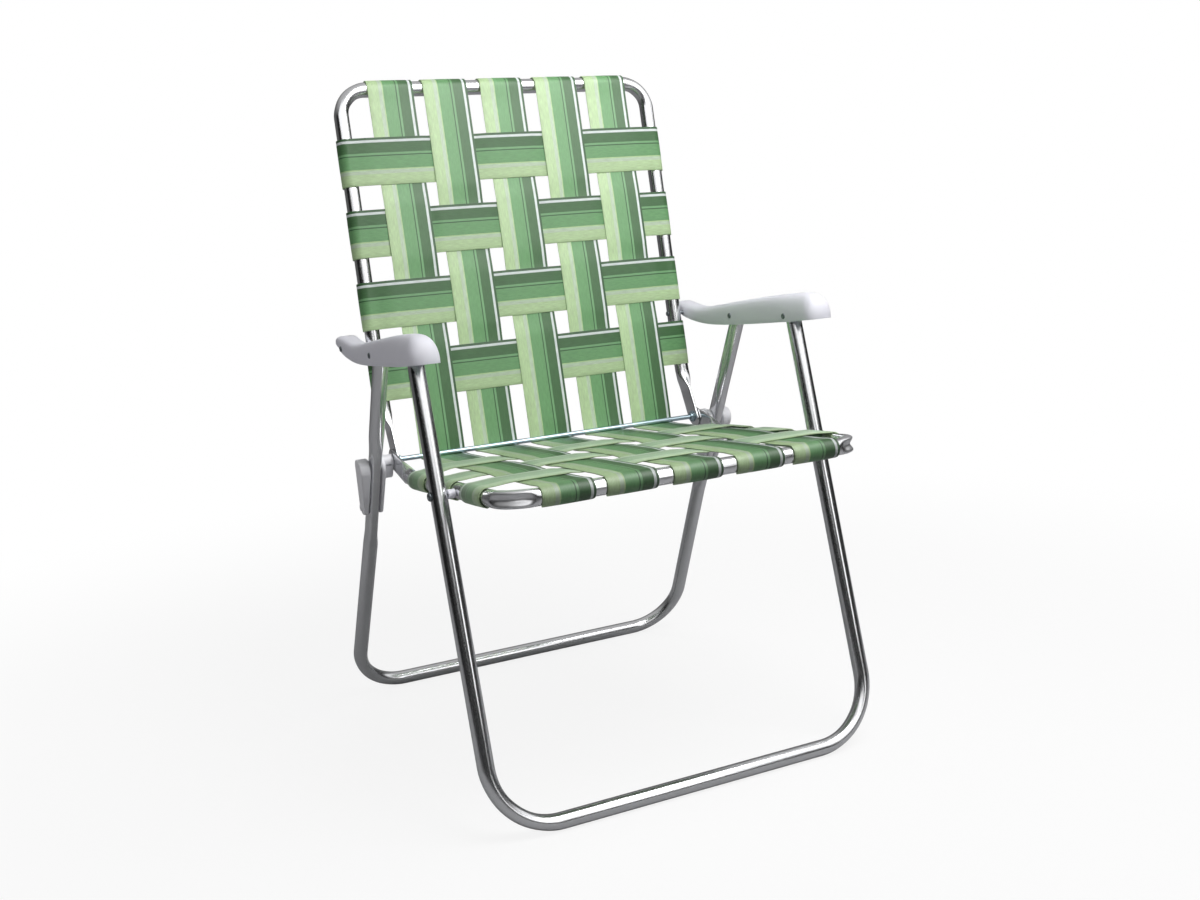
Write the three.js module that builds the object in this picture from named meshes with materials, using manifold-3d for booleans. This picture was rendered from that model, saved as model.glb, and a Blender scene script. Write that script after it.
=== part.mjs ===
import * as THREE from 'three';
import { mergeVertices } from 'three/addons/utils/BufferGeometryUtils.js';
import Module from 'manifold-3d';

// Folding webbed lawn chair, open as it stands. Millimetres, +Z up, the sitter faces -Y.
// The layout is drawn in side view from the cross rod, then moved so the base is centred.

const wasm = await Module();
wasm.setup();

// Driving dimensions
const tubeDiameter = 18;
const tubeWall = 1.2;
const rodDiameter = 6;
const rodHeight = 340.5;
const railSetback = 19;
const railCentre = 206.5;
const legCentre = 233.5;
const backLean = THREE.MathUtils.degToRad(10.65);
const backLength = 446.2;
const seatTilt = THREE.MathUtils.degToRad(6.07);
const seatPivotReach = 236.8;
const seatNose = 121.5;
const backPivotReach = 139.4;
const frontLegRake = THREE.MathUtils.degToRad(16.45);
const frontLegAboveSeat = 144.4;
const rearLegRake = THREE.MathUtils.degToRad(25.98);
const rearPivotReach = 119.9;
const rearPivotDrop = 2;
const hingeReach = 214.7;
const legTopMargin = 6;
const frontLegBend = 72;
const rearLegBend = 64;
const rearLegSplay = 5;
const webWidth = 57.15;
const webThickness = 1;
const innerWebCentre = 74.7;
const outerWebCentre = 144.4;
const backRowStart = 88.7;
const backRowPitch = 86;
const seatRowBehindPivot = 42.8;
const seatRowNudge = 1.05;
const rivetDiameter = 4.8;
const clearance = 0.3;

// Round sections are drawn with flats that touch the true radius
const tubeSides = 16;
const tubeRadius = tubeDiameter / 2;
const tubeReach = tubeRadius / Math.cos(Math.PI / tubeSides);
const rodRadius = rodDiameter / 2;
const rodReach = rodRadius / Math.cos(Math.PI / tubeSides);
const rivetRadius = rivetDiameter / 2;

// The seat rails run past the front leg pivot to their front bends
const seatLength = seatPivotReach + seatNose;

// Seat and back bend as widely as leaves the outer webs on the straight part
const railBend = railCentre - outerWebCentre - webWidth / 2 - clearance;

const acrossX = new THREE.Vector3(1, 0, 0);

function side(y, z) {
  return new THREE.Vector3(0, y, z);
}

function along(start, direction, distance) {
  return start.clone().addScaledVector(direction, distance);
}

function mix(from, to, share) {
  return from + (to - from) * share;
}

function smooth(share) {
  const held = Math.min(1, Math.max(0, share));
  return held * held * (3 - 2 * held);
}

// Side-view directions of the four frames and the places of the pivots
const rod = side(0, rodHeight);
const backUp = side(Math.sin(backLean), Math.cos(backLean));
const backFront = side(-Math.cos(backLean), Math.sin(backLean));
const seatForward = side(-Math.cos(seatTilt), Math.sin(seatTilt));
const seatUp = side(Math.sin(seatTilt), Math.cos(seatTilt));
const backFoot = along(rod, backFront, -railSetback);
const seatFoot = along(rod, seatUp, -railSetback);
const seatPivot = along(seatFoot, seatForward, seatPivotReach);
const backPivot = along(backFoot, backUp, backPivotReach);
const frontLegUp = side(Math.sin(frontLegRake), Math.cos(frontLegRake));
const frontLegRear = side(Math.cos(frontLegRake), -Math.sin(frontLegRake));
const frontPivot = along(seatPivot, frontLegUp, frontLegAboveSeat);
const frontLegLength = (frontPivot.z - tubeRadius) / Math.cos(frontLegRake);
const armForward = frontPivot.clone().sub(backPivot).normalize();
const armUp = side(-armForward.z, armForward.y).negate();
const armSpan = frontPivot.distanceTo(backPivot);
const rearPivot = along(along(backPivot, armForward, rearPivotReach), armUp, -rearPivotDrop);
const rearLegUp = side(-Math.sin(rearLegRake), Math.cos(rearLegRake));
const rearLegRear = side(Math.cos(rearLegRake), Math.sin(rearLegRake));
const rearLegLength = (rearPivot.z - tubeRadius) / Math.cos(rearLegRake);
const hingePivot = along(rearPivot, rearLegUp, -hingeReach);

// The base runs from the seat webs in front to the rear leg's cross tube
const wrapTurn = THREE.MathUtils.degToRad(210);
const wrapSteps = 8;
const webInside = (tubeReach + clearance) / Math.cos(wrapTurn / wrapSteps / 2);
const webRadius = webInside + webThickness / 2;
const frontReach = along(seatFoot, seatForward, seatLength).y - webRadius - webThickness / 2;
const rearReach = along(rearPivot, rearLegUp, -rearLegLength).y + tubeReach;
const baseShift = -(frontReach + rearReach) / 2;

// A ring of points round a station: half sizes across and up, how square, and how dented outside
function ringPoints(station, sides, phase) {
  const power = 2 / (station.squareness ?? 2);
  const points = [];
  for (let index = 0; index < sides; index += 1) {
    const angle = phase + ((index + 1 / 2) * 2 * Math.PI) / sides;
    const cosine = Math.cos(angle);
    const sine = Math.sin(angle);
    const reachAcross = Math.sign(cosine) * Math.abs(cosine) ** power * station.halfAcross;
    const dent = (station.dent ?? 0) * Math.max(0, cosine) ** 3;
    const reachUp = Math.sign(sine) * Math.abs(sine) ** power * station.halfUp;
    points.push(
      station.centre
        .clone()
        .addScaledVector(station.across, reachAcross - dent)
        .addScaledVector(station.up, reachUp),
    );
  }
  return points;
}

// A closed skin through rings of equal count, with both ends capped
function skin(rings) {
  const count = rings[0].length;
  const positions = rings.flat().flatMap((point) => [point.x, point.y, point.z]);
  const faces = [];
  for (let ring = 0; ring + 1 < rings.length; ring += 1) {
    for (let index = 0; index < count; index += 1) {
      const next = (index + 1) % count;
      const here = ring * count;
      const there = here + count;
      faces.push(here + index, here + next, there + next);
      faces.push(here + index, there + next, there + index);
    }
  }
  const last = (rings.length - 1) * count;
  for (let index = 1; index + 1 < count; index += 1) {
    faces.push(0, index + 1, index);
    faces.push(last, last + index, last + index + 1);
  }
  const geometry = new THREE.BufferGeometry();
  geometry.setAttribute('position', new THREE.Float32BufferAttribute(positions, 3));
  geometry.setIndex(faces);
  return geometry;
}

function toSolid(geometry) {
  const bare = geometry.clone();
  bare.deleteAttribute('normal');
  bare.deleteAttribute('uv');
  const merged = mergeVertices(bare);
  const vertProperties = new Float32Array(merged.attributes.position.array);
  const triVerts = new Uint32Array(merged.index.array);
  return new wasm.Manifold(new wasm.Mesh({ numProp: 3, vertProperties, triVerts }));
}

function toGeometry(solid) {
  const mesh = solid.getMesh();
  const geometry = new THREE.BufferGeometry();
  geometry.setAttribute('position', new THREE.Float32BufferAttribute(mesh.vertProperties, 3));
  geometry.setIndex(Array.from(mesh.triVerts));
  return geometry;
}

function cut(geometry, tools) {
  return toGeometry(tools.reduce((body, tool) => body.subtract(toSolid(tool)), toSolid(geometry)));
}

function join(pieces) {
  return toGeometry(pieces.map(toSolid).reduce((body, piece) => body.add(piece)));
}

function mirrored(geometry) {
  const copy = geometry.clone();
  copy.applyMatrix4(new THREE.Matrix4().makeScale(-1, 1, 1));
  const order = copy.index ? Array.from(copy.index.array) : [...Array(copy.attributes.position.count).keys()];
  for (let start = 0; start < order.length; start += 3) {
    [order[start], order[start + 1]] = [order[start + 1], order[start]];
  }
  copy.setIndex(order);
  return copy;
}

// A solid of revolution about a line along X through a side-view point
function turned(profile, place, sides = tubeSides) {
  const points = profile.map(([radius, x]) => new THREE.Vector2(radius, x));
  const geometry = new THREE.LatheGeometry(points, sides);
  geometry.rotateZ(-Math.PI / 2);
  geometry.translate(0, place.y, place.z);
  return geometry;
}

// A drill along X through a side-view point, from one X to another
function drill(radius, place, fromX, toX) {
  return turned([[0, fromX], [radius, fromX], [radius, toX], [0, toX]], place);
}

// Tube frames

// A U-shaped tube: two legs along a direction, joined by a cross tube with two bends
const bendSteps = 8;
const bendSquashShare = 0.88;
const bendSwellShare = 1.05;

function uFrame(frame) {
  const { origin, direction, normal, halfWidth, length, bend, legStations, dent } = frame;
  const footWidth = halfWidth + (frame.splay ?? 0);
  const stations = [];
  const addLeg = (sideSign, station) => {
    const flow = direction.clone();
    const lift = station.lift ?? 0;
    const slope = station.slope ?? 0;
    flow.addScaledVector(frame.toRod ?? normal, slope).normalize();
    const tangent = flow.clone().multiplyScalar(-sideSign);
    const up = normal.clone().addScaledVector(flow, -normal.dot(flow)).normalize();
    const centre = along(origin, direction, station.distance)
      .addScaledVector(acrossX, sideSign * (halfWidth + (station.outward ?? 0)))
      .addScaledVector(frame.toRod ?? normal, lift);
    stations.push({ ...station, centre, up, across: up.clone().cross(tangent) });
  };
  const addBend = (sideSign, turn) => {
    const angle = (turn * Math.PI) / 2;
    const squash = Math.sin(turn * Math.PI);
    const tangent = direction
      .clone()
      .multiplyScalar(-sideSign * Math.cos(angle))
      .addScaledVector(acrossX, Math.sin(angle));
    const centre = along(origin, direction, length - bend + bend * Math.sin(angle)).addScaledVector(
      acrossX,
      sideSign * (footWidth - bend + bend * Math.cos(angle)),
    );
    stations.push({
      centre,
      up: normal,
      across: normal.clone().cross(tangent),
      halfAcross: tubeReach * mix(1, bendSquashShare, smooth(squash)),
      halfUp: tubeReach * mix(1, bendSwellShare, smooth(squash)),
      dent: dent * smooth(squash),
    });
  };
  legStations.forEach((station) => addLeg(-1, station));
  for (let step = 0; step <= bendSteps; step += 1) addBend(-1, step / bendSteps);
  for (let step = bendSteps; step >= 0; step -= 1) addBend(1, step / bendSteps);
  [...legStations].reverse().forEach((station) => addLeg(1, station));
  const down = Math.atan2(-normal.z, normal.clone().cross(acrossX).z * -1);
  return skin(stations.map((station) => ringPoints(station, tubeSides, frame.flatDown ? down : 0)));
}

// The open mouth of a cut tube end, seen from below inside the armrest
const mouthDepth = 14;
const boreRadius = tubeReach - tubeWall;

function mouthStations(endDistance) {
  return [
    { distance: endDistance + mouthDepth, halfAcross: boreRadius, halfUp: boreRadius },
    { distance: endDistance, halfAcross: boreRadius, halfUp: boreRadius },
    { distance: endDistance, halfAcross: tubeReach, halfUp: tubeReach },
    { distance: endDistance + mouthDepth, halfAcross: tubeReach, halfUp: tubeReach },
  ];
}

// The front leg frame hangs from the armrest's front rivet and stands on its cross tube
const pivotSlack = 1.2;

function frontLegFrame() {
  const bare = uFrame({
    origin: frontPivot,
    direction: frontLegUp.clone().negate(),
    normal: frontLegRear,
    halfWidth: legCentre,
    length: frontLegLength,
    bend: frontLegBend,
    legStations: mouthStations(-legTopMargin),
    dent: 0,
    flatDown: true,
  });
  const holes = [-1, 1].flatMap((sign) => {
    const inner = sign * (legCentre - tubeDiameter);
    const outer = sign * (legCentre + tubeDiameter);
    const range = [Math.min(inner, outer), Math.max(inner, outer)];
    return [
      drill(rivetRadius + pivotSlack, frontPivot, ...range),
      drill(rivetRadius + clearance, seatPivot, ...range),
    ];
  });
  return cut(bare, holes);
}

// The rear leg is pressed flat on its sides where the hinge bracket straddles it
const pressedHalf = 6.5;
const pressedDepth = 10.75;
const pressStart = 108;
const pressFull = 142;
const pressEnd = 38;
const pressFade = 24;
const pressSteps = 4;

function pressedStations() {
  const stations = [];
  const add = (distance, share) =>
    stations.push({
      distance,
      halfAcross: mix(tubeReach, pressedHalf, smooth(share)),
      halfUp: mix(tubeReach, pressedDepth, smooth(share)),
      squareness: mix(2, 3, smooth(share)),
    });
  for (let step = 0; step <= pressSteps; step += 1) {
    add(mix(pressStart, pressFull, step / pressSteps), step / pressSteps);
  }
  for (let step = pressSteps; step >= 0; step -= 1) {
    add(hingeReach + pressEnd + pressFade * (1 - step / pressSteps), step / pressSteps);
  }
  return stations;
}

function rearLegFrame() {
  const bare = uFrame({
    origin: rearPivot,
    direction: rearLegUp.clone().negate(),
    normal: rearLegRear,
    halfWidth: legCentre,
    length: rearLegLength,
    bend: rearLegBend,
    splay: rearLegSplay,
    legStations: [...mouthStations(-legTopMargin), ...pressedStations()],
    dent: 0,
    flatDown: true,
  });
  const holes = [-1, 1].flatMap((sign) => {
    const inner = sign * (legCentre - tubeDiameter);
    const outer = sign * (legCentre + tubeDiameter);
    const range = [Math.min(inner, outer), Math.max(inner, outer)];
    return [
      drill(rivetRadius + clearance, rearPivot, ...range),
      drill(rivetRadius + clearance, hingePivot, ...range),
    ];
  });
  return cut(bare, holes);
}

// Seat and back rails end in flat straps that swing in to the cross rod
const strapThickness = 3;
const strapHalf = 12.5;
const strapFlatTo = 36;
const strapRoundFrom = 58;
const strapBend = 60;
const strapShift = (strapThickness + clearance) / 2;
const strapSteps = 5;
const tipShares = [0.97, 0.8, 0.5, 0];

function strapStations(outward) {
  const stations = [];
  const add = (distance, width) => {
    const round = smooth((distance - strapFlatTo) / (strapRoundFrom - strapFlatTo));
    const reach = Math.max(0, 1 - distance / strapBend);
    stations.push({
      distance,
      outward: outward * (1 - round),
      lift: railSetback * reach,
      slope: distance < strapBend ? -railSetback / strapBend : 0,
      halfAcross: mix(strapThickness / 2, tubeReach, round),
      halfUp: mix(width, tubeReach, round),
      squareness: mix(5, 2, round),
    });
  };
  tipShares.forEach((share) => add(-strapHalf * share, strapHalf * Math.sqrt(1 - share * share)));
  for (let step = 0; step <= strapSteps; step += 1) {
    add(mix(strapFlatTo, strapRoundFrom, step / strapSteps), strapHalf);
  }
  add(strapBend + tubeRadius, strapHalf);
  return stations;
}

const cornerDent = 5.5;

function seatFrame() {
  const bare = uFrame({
    origin: seatFoot,
    direction: seatForward,
    normal: seatUp.clone().negate(),
    toRod: seatUp,
    halfWidth: railCentre,
    length: seatLength,
    bend: railBend,
    legStations: strapStations(strapShift),
    dent: cornerDent,
  });
  const reach = railCentre + tubeDiameter;
  return cut(bare, [
    drill(rodRadius + clearance, rod, -reach, reach),
    drill(rivetRadius + clearance, seatPivot, -reach, reach),
  ]);
}

function backFrame() {
  const bare = uFrame({
    origin: backFoot,
    direction: backUp,
    normal: backFront.clone().negate(),
    toRod: backFront,
    halfWidth: railCentre,
    length: backLength,
    bend: railBend,
    legStations: strapStations(-strapShift),
    dent: 0,
  });
  const reach = railCentre + tubeDiameter;
  return cut(bare, [
    drill(rodRadius + clearance, rod, -reach, reach),
    drill(rivetRadius + clearance, backPivot, -reach, reach),
  ]);
}

// Cross rod with a flanged collar inside each pair of straps
const rodChamfer = 0.6;
const cheekGap = 0.5;
const bracketInside = legCentre - pressedHalf - cheekGap;
const rodEnd = bracketInside - rodRadius;
const collarFlange = 7.2;
const collarHub = 4.8;
const collarFlangeThickness = 1.5;
const collarLength = 4;

function crossRod() {
  return turned(
    [
      [0, -rodEnd],
      [rodRadius - rodChamfer, -rodEnd],
      [rodReach, rodChamfer - rodEnd],
      [rodReach, rodEnd - rodChamfer],
      [rodRadius - rodChamfer, rodEnd],
      [0, rodEnd],
    ],
    rod,
  );
}

function rodCollar() {
  const outer = railCentre - strapShift - strapThickness / 2 - clearance;
  const inner = outer - collarLength;
  const bore = rodReach + clearance;
  return turned(
    [
      [bore, inner],
      [collarHub, inner],
      [collarHub, outer - collarFlangeThickness],
      [collarFlange, outer - collarFlangeThickness],
      [collarFlange, outer],
      [bore, outer],
      [bore, inner],
    ],
    rod,
  );
}

// Rivets with domed heads, along X from an inner face to an outer face
const legHead = { radius: 4.8, height: 2.2 };
const armHead = { radius: 3.4, height: 1.3 };
const domeShares = [1, 0.8, 0];
const domeHeightShares = [0, 0.65, 1];

function dome(face, direction, head) {
  return domeShares.map((share, index) => [
    head.radius * share,
    face + direction * head.height * domeHeightShares[index],
  ]);
}

function rivet(place, innerFace, outerFace, head) {
  return turned(
    [
      ...dome(innerFace, -1, head).reverse(),
      [rivetRadius, innerFace],
      [rivetRadius, outerFace],
      ...dome(outerFace, 1, head),
    ],
    place,
    tubeSides / 2 + 2,
  );
}

// A short rivet stub that holds in one cheek of the bracket
function stub(place, face, tip) {
  const outward = Math.sign(face - tip);
  const profile = [[0, tip], [rivetRadius, tip], [rivetRadius, face], ...dome(face, outward, legHead)];
  return turned(outward > 0 ? profile : profile.reverse(), place, tubeSides / 2 + 2);
}

const spacerRadius = 5.2;

function legSpacer() {
  const inner = railCentre + tubeReach + clearance;
  const outer = legCentre - tubeReach - clearance;
  const bore = rivetRadius + clearance;
  return turned(
    [
      [bore, inner],
      [spacerRadius, inner],
      [spacerRadius, outer],
      [bore, outer],
      [bore, inner],
    ],
    seatPivot,
  );
}

// Armrest: a moulded channel, open below, with a flat tail, a rising top and a rounded nose
const armHalf = 13.5;
const armWall = 2.4;
const armRoof = 3;
const armDepth = 34;
const armCorner = 6;
const armBossRadius = 7;
// Each row: reach as a share of the span between end rivets, then top, bottom and half width shares
const armShares = [
  [-0.11, 0.288, 0.229, 0.8],
  [-0.103, 0.362, 0.192, 0.93],
  [-0.085, 0.409, 0.145, 1],
  [-0.048, 0.403, 0.039, 1],
  [0.002, 0.349, -0.13, 1],
  [0.067, 0.276, -0.245, 1],
  [0.133, 0.222, -0.324, 1],
  [0.22, 0.224, -0.39, 1],
  [0.308, 0.285, -0.418, 1],
  [0.391, 0.347, -0.417, 1],
  [0.641, 0.532, -0.349, 1],
  [0.87, 0.686, -0.26, 1],
  [1.003, 0.747, -0.199, 1],
  [1.12, 0.769, -0.142, 1],
  [1.174, 0.764, -0.112, 0.965],
  [1.215, 0.733, -0.089, 0.9],
  [1.253, 0.669, -0.066, 0.8],
  [1.284, 0.559, -0.044, 0.68],
  [1.308, 0.404, -0.022, 0.54],
  [1.326, 0.242, -0.001, 0.4],
  [1.338, 0.13, 0.012, 0.26],
  [1.345, 0.054, 0.022, 0.14],
];
const cavityFromShare = -0.03;
const cavityToShare = 1.29;
const cornerShares = [0, 0.35, 0.7, 1];
const roundLimitShare = 0.9;

function armSection(reach, half, top, bottom, corner) {
  const points = [];
  const place = (x, height) =>
    points.push(
      along(along(backPivot, armForward, reach), armUp, height).addScaledVector(acrossX, legCentre + x),
    );
  const radius = Math.min(corner, half * roundLimitShare, (top - bottom) * roundLimitShare);
  const arc = cornerShares.map((share) => (share * Math.PI) / 2);
  place(half, bottom);
  arc.forEach((angle) => place(half - radius + radius * Math.cos(angle), top - radius + radius * Math.sin(angle)));
  arc
    .slice()
    .reverse()
    .forEach((angle) => place(-half + radius - radius * Math.cos(angle), top - radius + radius * Math.sin(angle)));
  place(-half, bottom);
  return points;
}

function armAt(share) {
  const next = armShares.findIndex((row) => row[0] >= share);
  const [low, high] = [armShares[next - 1], armShares[next]];
  const part = (share - low[0]) / (high[0] - low[0]);
  return low.map((value, index) => mix(value, high[index], part));
}

function armrest() {
  const outside = armShares.map(([reach, top, bottom, half]) =>
    armSection(reach * armSpan, half * armHalf, top * armDepth, bottom * armDepth, armCorner),
  );
  const cavityShares = [
    cavityFromShare,
    ...armShares.map((row) => row[0]).filter((share) => share > cavityFromShare && share < cavityToShare),
    cavityToShare,
  ];
  const inside = cavityShares.map((share) => {
    const [, top, , half] = armAt(share);
    return armSection(share * armSpan, half * armHalf - armWall, top * armDepth - armRoof, -armDepth, armWall);
  });
  const innerWall = legCentre - armHalf;
  const bossFace = railCentre + tubeReach + clearance;
  const boss = drill(armBossRadius, backPivot, bossFace, innerWall + armWall / 2);
  const body = join([cut(skin(outside), [skin(inside)]), boss]);
  const reach = [innerWall - armHalf, legCentre + 2 * armHalf];
  return cut(
    body,
    [backPivot, rearPivot, frontPivot].map((place) => drill(rivetRadius + clearance, place, ...reach)),
  );
}

// Hinge bracket: two cheeks either side of the rear leg, a bridge behind it and a knuckle on the rod
const cheekToe = 9.5;
const cheekHead = 13.5;
const cheekHeadDrop = 4.5;
const cheekHeadAhead = 5.3;
const outerCheek = 5.4;
const innerCheek = 4;
const cheekFlare = 7;
const cheekBevel = 1.3;
const bridgeGap = 0.55;
const bridgeThickness = 3;
const bridgeDrop = 13.5;
const bridgeHeight = 15;
const knuckleTop = 8;
const knuckleBase = 8.5;
const knuckleDropShare = 0.248;
const arcSteps = 6;

// The cross rod seen from the hinge pivot, behind the leg and up along it
const toRod = rod.clone().sub(hingePivot);
const rodBack = toRod.dot(rearLegRear);
const rodRise = toRod.dot(rearLegUp);
const cheekRise = rodRise - cheekHeadDrop;
const cheekHeadBack = rodBack - cheekHeadAhead;
const bridgeFrom = rodRise - bridgeDrop;
const bridgeTo = bridgeFrom + bridgeHeight;

function alignedToLeg(geometry) {
  const frame = new THREE.Matrix4().makeBasis(rearLegRear, rearLegUp, acrossX);
  return geometry.applyMatrix4(frame.setPosition(hingePivot));
}

// The outline of two discs and the tangents that join them, drawn along the leg from the hinge
function twoDiscs(lowRadius, lowBack, lowRise, highRadius, highBack, highRise) {
  const reach = Math.hypot(highRise - lowRise, highBack - lowBack);
  const tilt = Math.atan2(lowBack - highBack, highRise - lowRise);
  const lean = Math.asin((highRadius - lowRadius) / reach);
  const shape = new THREE.Shape();
  shape.absarc(lowBack, lowRise, lowRadius, tilt + Math.PI + lean, tilt - lean, false);
  shape.absarc(highBack, highRise, highRadius, tilt - lean, tilt + Math.PI + lean, false);
  shape.closePath();
  return shape;
}

function plate(shape, thickness, fromX) {
  const geometry = new THREE.ExtrudeGeometry(shape, {
    depth: thickness - 2 * cheekBevel,
    bevelThickness: cheekBevel,
    bevelSize: cheekBevel,
    bevelOffset: -cheekBevel,
    bevelSegments: 1,
    curveSegments: arcSteps,
  });
  return geometry.translate(0, 0, fromX + cheekBevel);
}

// How far the outer cheek stands off the leg at a height along the leg
function flareAt(rise) {
  return (cheekFlare * (rise + cheekToe)) / (cheekRise + cheekToe);
}

function flared(geometry) {
  const places = geometry.attributes.position;
  for (let index = 0; index < places.count; index += 1) {
    places.setZ(index, places.getZ(index) + flareAt(places.getY(index)));
  }
  return geometry;
}

const knuckleInside = railCentre + strapShift + strapThickness / 2 + clearance;

function hingeBracket() {
  const innerFace = legCentre - pressedHalf - cheekGap;
  const outerFace = legCentre + pressedHalf + cheekGap;
  const cheek = twoDiscs(cheekToe, 0, 0, cheekHead, cheekHeadBack, cheekRise);
  const bridgeShape = new THREE.Shape();
  const nearSide = pressedDepth + bridgeGap;
  bridgeShape.moveTo(nearSide, bridgeFrom);
  bridgeShape.lineTo(nearSide + bridgeThickness, bridgeFrom);
  bridgeShape.lineTo(nearSide + bridgeThickness, bridgeTo);
  bridgeShape.lineTo(nearSide, bridgeTo);
  bridgeShape.closePath();
  const bridgeFoot = innerFace - innerCheek / 2;
  const bridgeHead = outerFace + flareAt(bridgeFrom) + outerCheek / 2;
  const bridge = new THREE.ExtrudeGeometry(bridgeShape, { depth: bridgeHead - bridgeFoot, bevelEnabled: false });
  const knuckleFoot = rodRise * (1 - knuckleDropShare);
  const knuckle = twoDiscs(knuckleBase, rodBack, knuckleFoot, knuckleTop, rodBack, rodRise);
  const body = join(
    [
      plate(cheek, innerCheek, innerFace - innerCheek),
      flared(plate(cheek, outerCheek, outerFace)),
      bridge.translate(0, 0, bridgeFoot),
      plate(knuckle, innerFace - innerCheek / 2 - knuckleInside, knuckleInside),
    ].map(alignedToLeg),
  );
  return cut(body, [
    drill(rodReach + clearance, rod, knuckleInside - innerCheek, innerFace + cheekGap),
    drill(rivetRadius + clearance, hingePivot, innerFace - 2 * innerCheek, outerFace + 2 * outerCheek),
  ]);
}

// Webbing: flat ribbons given by two edges and the way their face looks

function ribbon(stations) {
  const half = webThickness / 2;
  return skin(
    stations.map(({ left, right, face }) => [
      along(left, face, -half),
      along(right, face, -half),
      along(right, face, half),
      along(left, face, half),
    ]),
  );
}

const weaveLift = (webThickness + clearance) / 2;

// How far a web stands above or below the plane of the weave at a place along it
function weaveOffset(place, crossings) {
  const half = webWidth / 2;
  const inside = crossings.find((crossing) => Math.abs(place - crossing.centre) <= half);
  if (inside) return inside.over * weaveLift;
  const before = crossings.filter((crossing) => crossing.centre < place).at(-1);
  const after = crossings.find((crossing) => crossing.centre > place);
  if (!before || !after) return (before ?? after).over * weaveLift;
  const gap = after.centre - before.centre - webWidth;
  const share = smooth((place - before.centre - half) / gap);
  return mix(before.over, after.over, share) * weaveLift;
}

// Places along a web where its stations go: the edges of each crossing and the slopes between
const slopeShares = [0.3, 0.7];

function weavePlaces(crossings) {
  return crossings.flatMap(({ centre }, index) => {
    const start = centre - webWidth / 2;
    const end = centre + webWidth / 2;
    const next = crossings[index + 1];
    const slopes = next ? slopeShares.map((share) => mix(end, next.centre - webWidth / 2, share)) : [];
    return [start, end, ...slopes];
  });
}

const webCentres = [-outerWebCentre, -innerWebCentre, 0, innerWebCentre, outerWebCentre];
const rodWebRadius = rodReach + clearance + webThickness / 2;
const rodSteps = 4;

// A web plane: a frame's rails, the face that the webs lie on, and the line from end rail to rod
function webPlane(foot, direction, face, length) {
  const endRail = along(foot, direction, length);
  const span = rod.clone().sub(endRail);
  const distance = span.length();
  const lean = (webRadius + rodWebRadius) / distance;
  const flow = span.normalize();
  const square = face.clone().addScaledVector(flow, -face.dot(flow)).normalize();
  const normal = square.multiplyScalar(Math.sqrt(1 - lean * lean)).addScaledVector(flow, lean);
  const start = along(endRail, normal, webRadius);
  const end = along(rod, normal, -rodWebRadius);
  const toPlane = (point) => {
    const offset = point.clone().sub(foot);
    return { distance: offset.dot(direction), height: offset.dot(face) };
  };
  return { foot, direction, face, endRail, normal, start, end, near: toPlane(end), far: toPlane(start) };
}

function webHeight(plane, distance) {
  const share = (distance - plane.near.distance) / (plane.far.distance - plane.near.distance);
  return mix(plane.near.height, plane.far.height, share);
}

const seatPlane = webPlane(seatFoot, seatForward, seatUp, seatLength);
const backPlane = webPlane(backFoot, backUp, backFront, backLength);

// The webs of seat and back meet halfway round the rod
const turnGap = clearance / rodWebRadius / 2;

function longWeb(plane, otherPlane, centreX, crossings) {
  const stations = [];
  const add = (centre, face) =>
    stations.push({
      left: centre.clone().setX(centreX - webWidth / 2),
      right: centre.clone().setX(centreX + webWidth / 2),
      face,
    });
  const outwardTurn = Math.sign(plane.normal.clone().cross(plane.direction).x);
  for (let step = wrapSteps; step >= 0; step -= 1) {
    const angle = (outwardTurn * wrapTurn * step) / wrapSteps;
    const face = plane.normal.clone().applyAxisAngle(acrossX, angle);
    add(along(plane.endRail, face, webRadius), face);
  }
  const places = weavePlaces(crossings).sort((first, second) => second - first);
  places.forEach((distance) => {
    const height = webHeight(plane, distance) + weaveOffset(distance, crossings);
    add(along(along(plane.foot, plane.direction, distance), plane.face, height), plane.normal);
  });
  const turn = plane.normal.angleTo(otherPlane.normal) / 2 - turnGap;
  for (let step = 0; step <= rodSteps; step += 1) {
    const face = plane.normal.clone().applyAxisAngle(acrossX, (outwardTurn * turn * step) / rodSteps);
    add(along(rod, face, -rodWebRadius), face);
  }
  return ribbonFacing(stations);
}

// A ribbon whose station order may run either way; its faces are made to look outwards
function ribbonFacing(stations) {
  const [first, second] = stations;
  const flow = second.left.clone().sub(first.left);
  const width = first.right.clone().sub(first.left);
  const ordered = width.cross(first.face).dot(flow) > 0;
  return ribbon(ordered ? stations : stations.map(({ left, right, face }) => ({ left: right, right: left, face })));
}

function crossWeb(plane, distance, firstOver) {
  const crossings = webCentres.map((centre, index) => ({ centre, over: index % 2 ? -firstOver : firstOver }));
  const edges = [distance - webWidth / 2, distance + webWidth / 2];
  const stations = [];
  const add = (x, heights, face) => {
    const [left, right] = edges.map((edge, index) =>
      along(along(plane.foot, plane.direction, edge), plane.face, heights[index]).setX(x),
    );
    stations.push({ left, right, face });
  };
  const wrap = (sign, step) => {
    const angle = (wrapTurn * step) / wrapSteps;
    const face = plane.face.clone().multiplyScalar(Math.cos(angle)).addScaledVector(acrossX, sign * Math.sin(angle));
    const height = webRadius * Math.cos(angle);
    add(sign * (railCentre + webRadius * Math.sin(angle)), [height, height], face);
  };
  for (let step = wrapSteps; step >= 0; step -= 1) wrap(-1, step);
  weavePlaces(crossings).forEach((x) => {
    const offset = weaveOffset(x, crossings);
    add(x, edges.map((edge) => webHeight(plane, edge) + offset), plane.normal);
  });
  for (let step = 0; step <= wrapSteps; step += 1) wrap(1, step);
  return ribbonFacing(stations);
}

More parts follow.
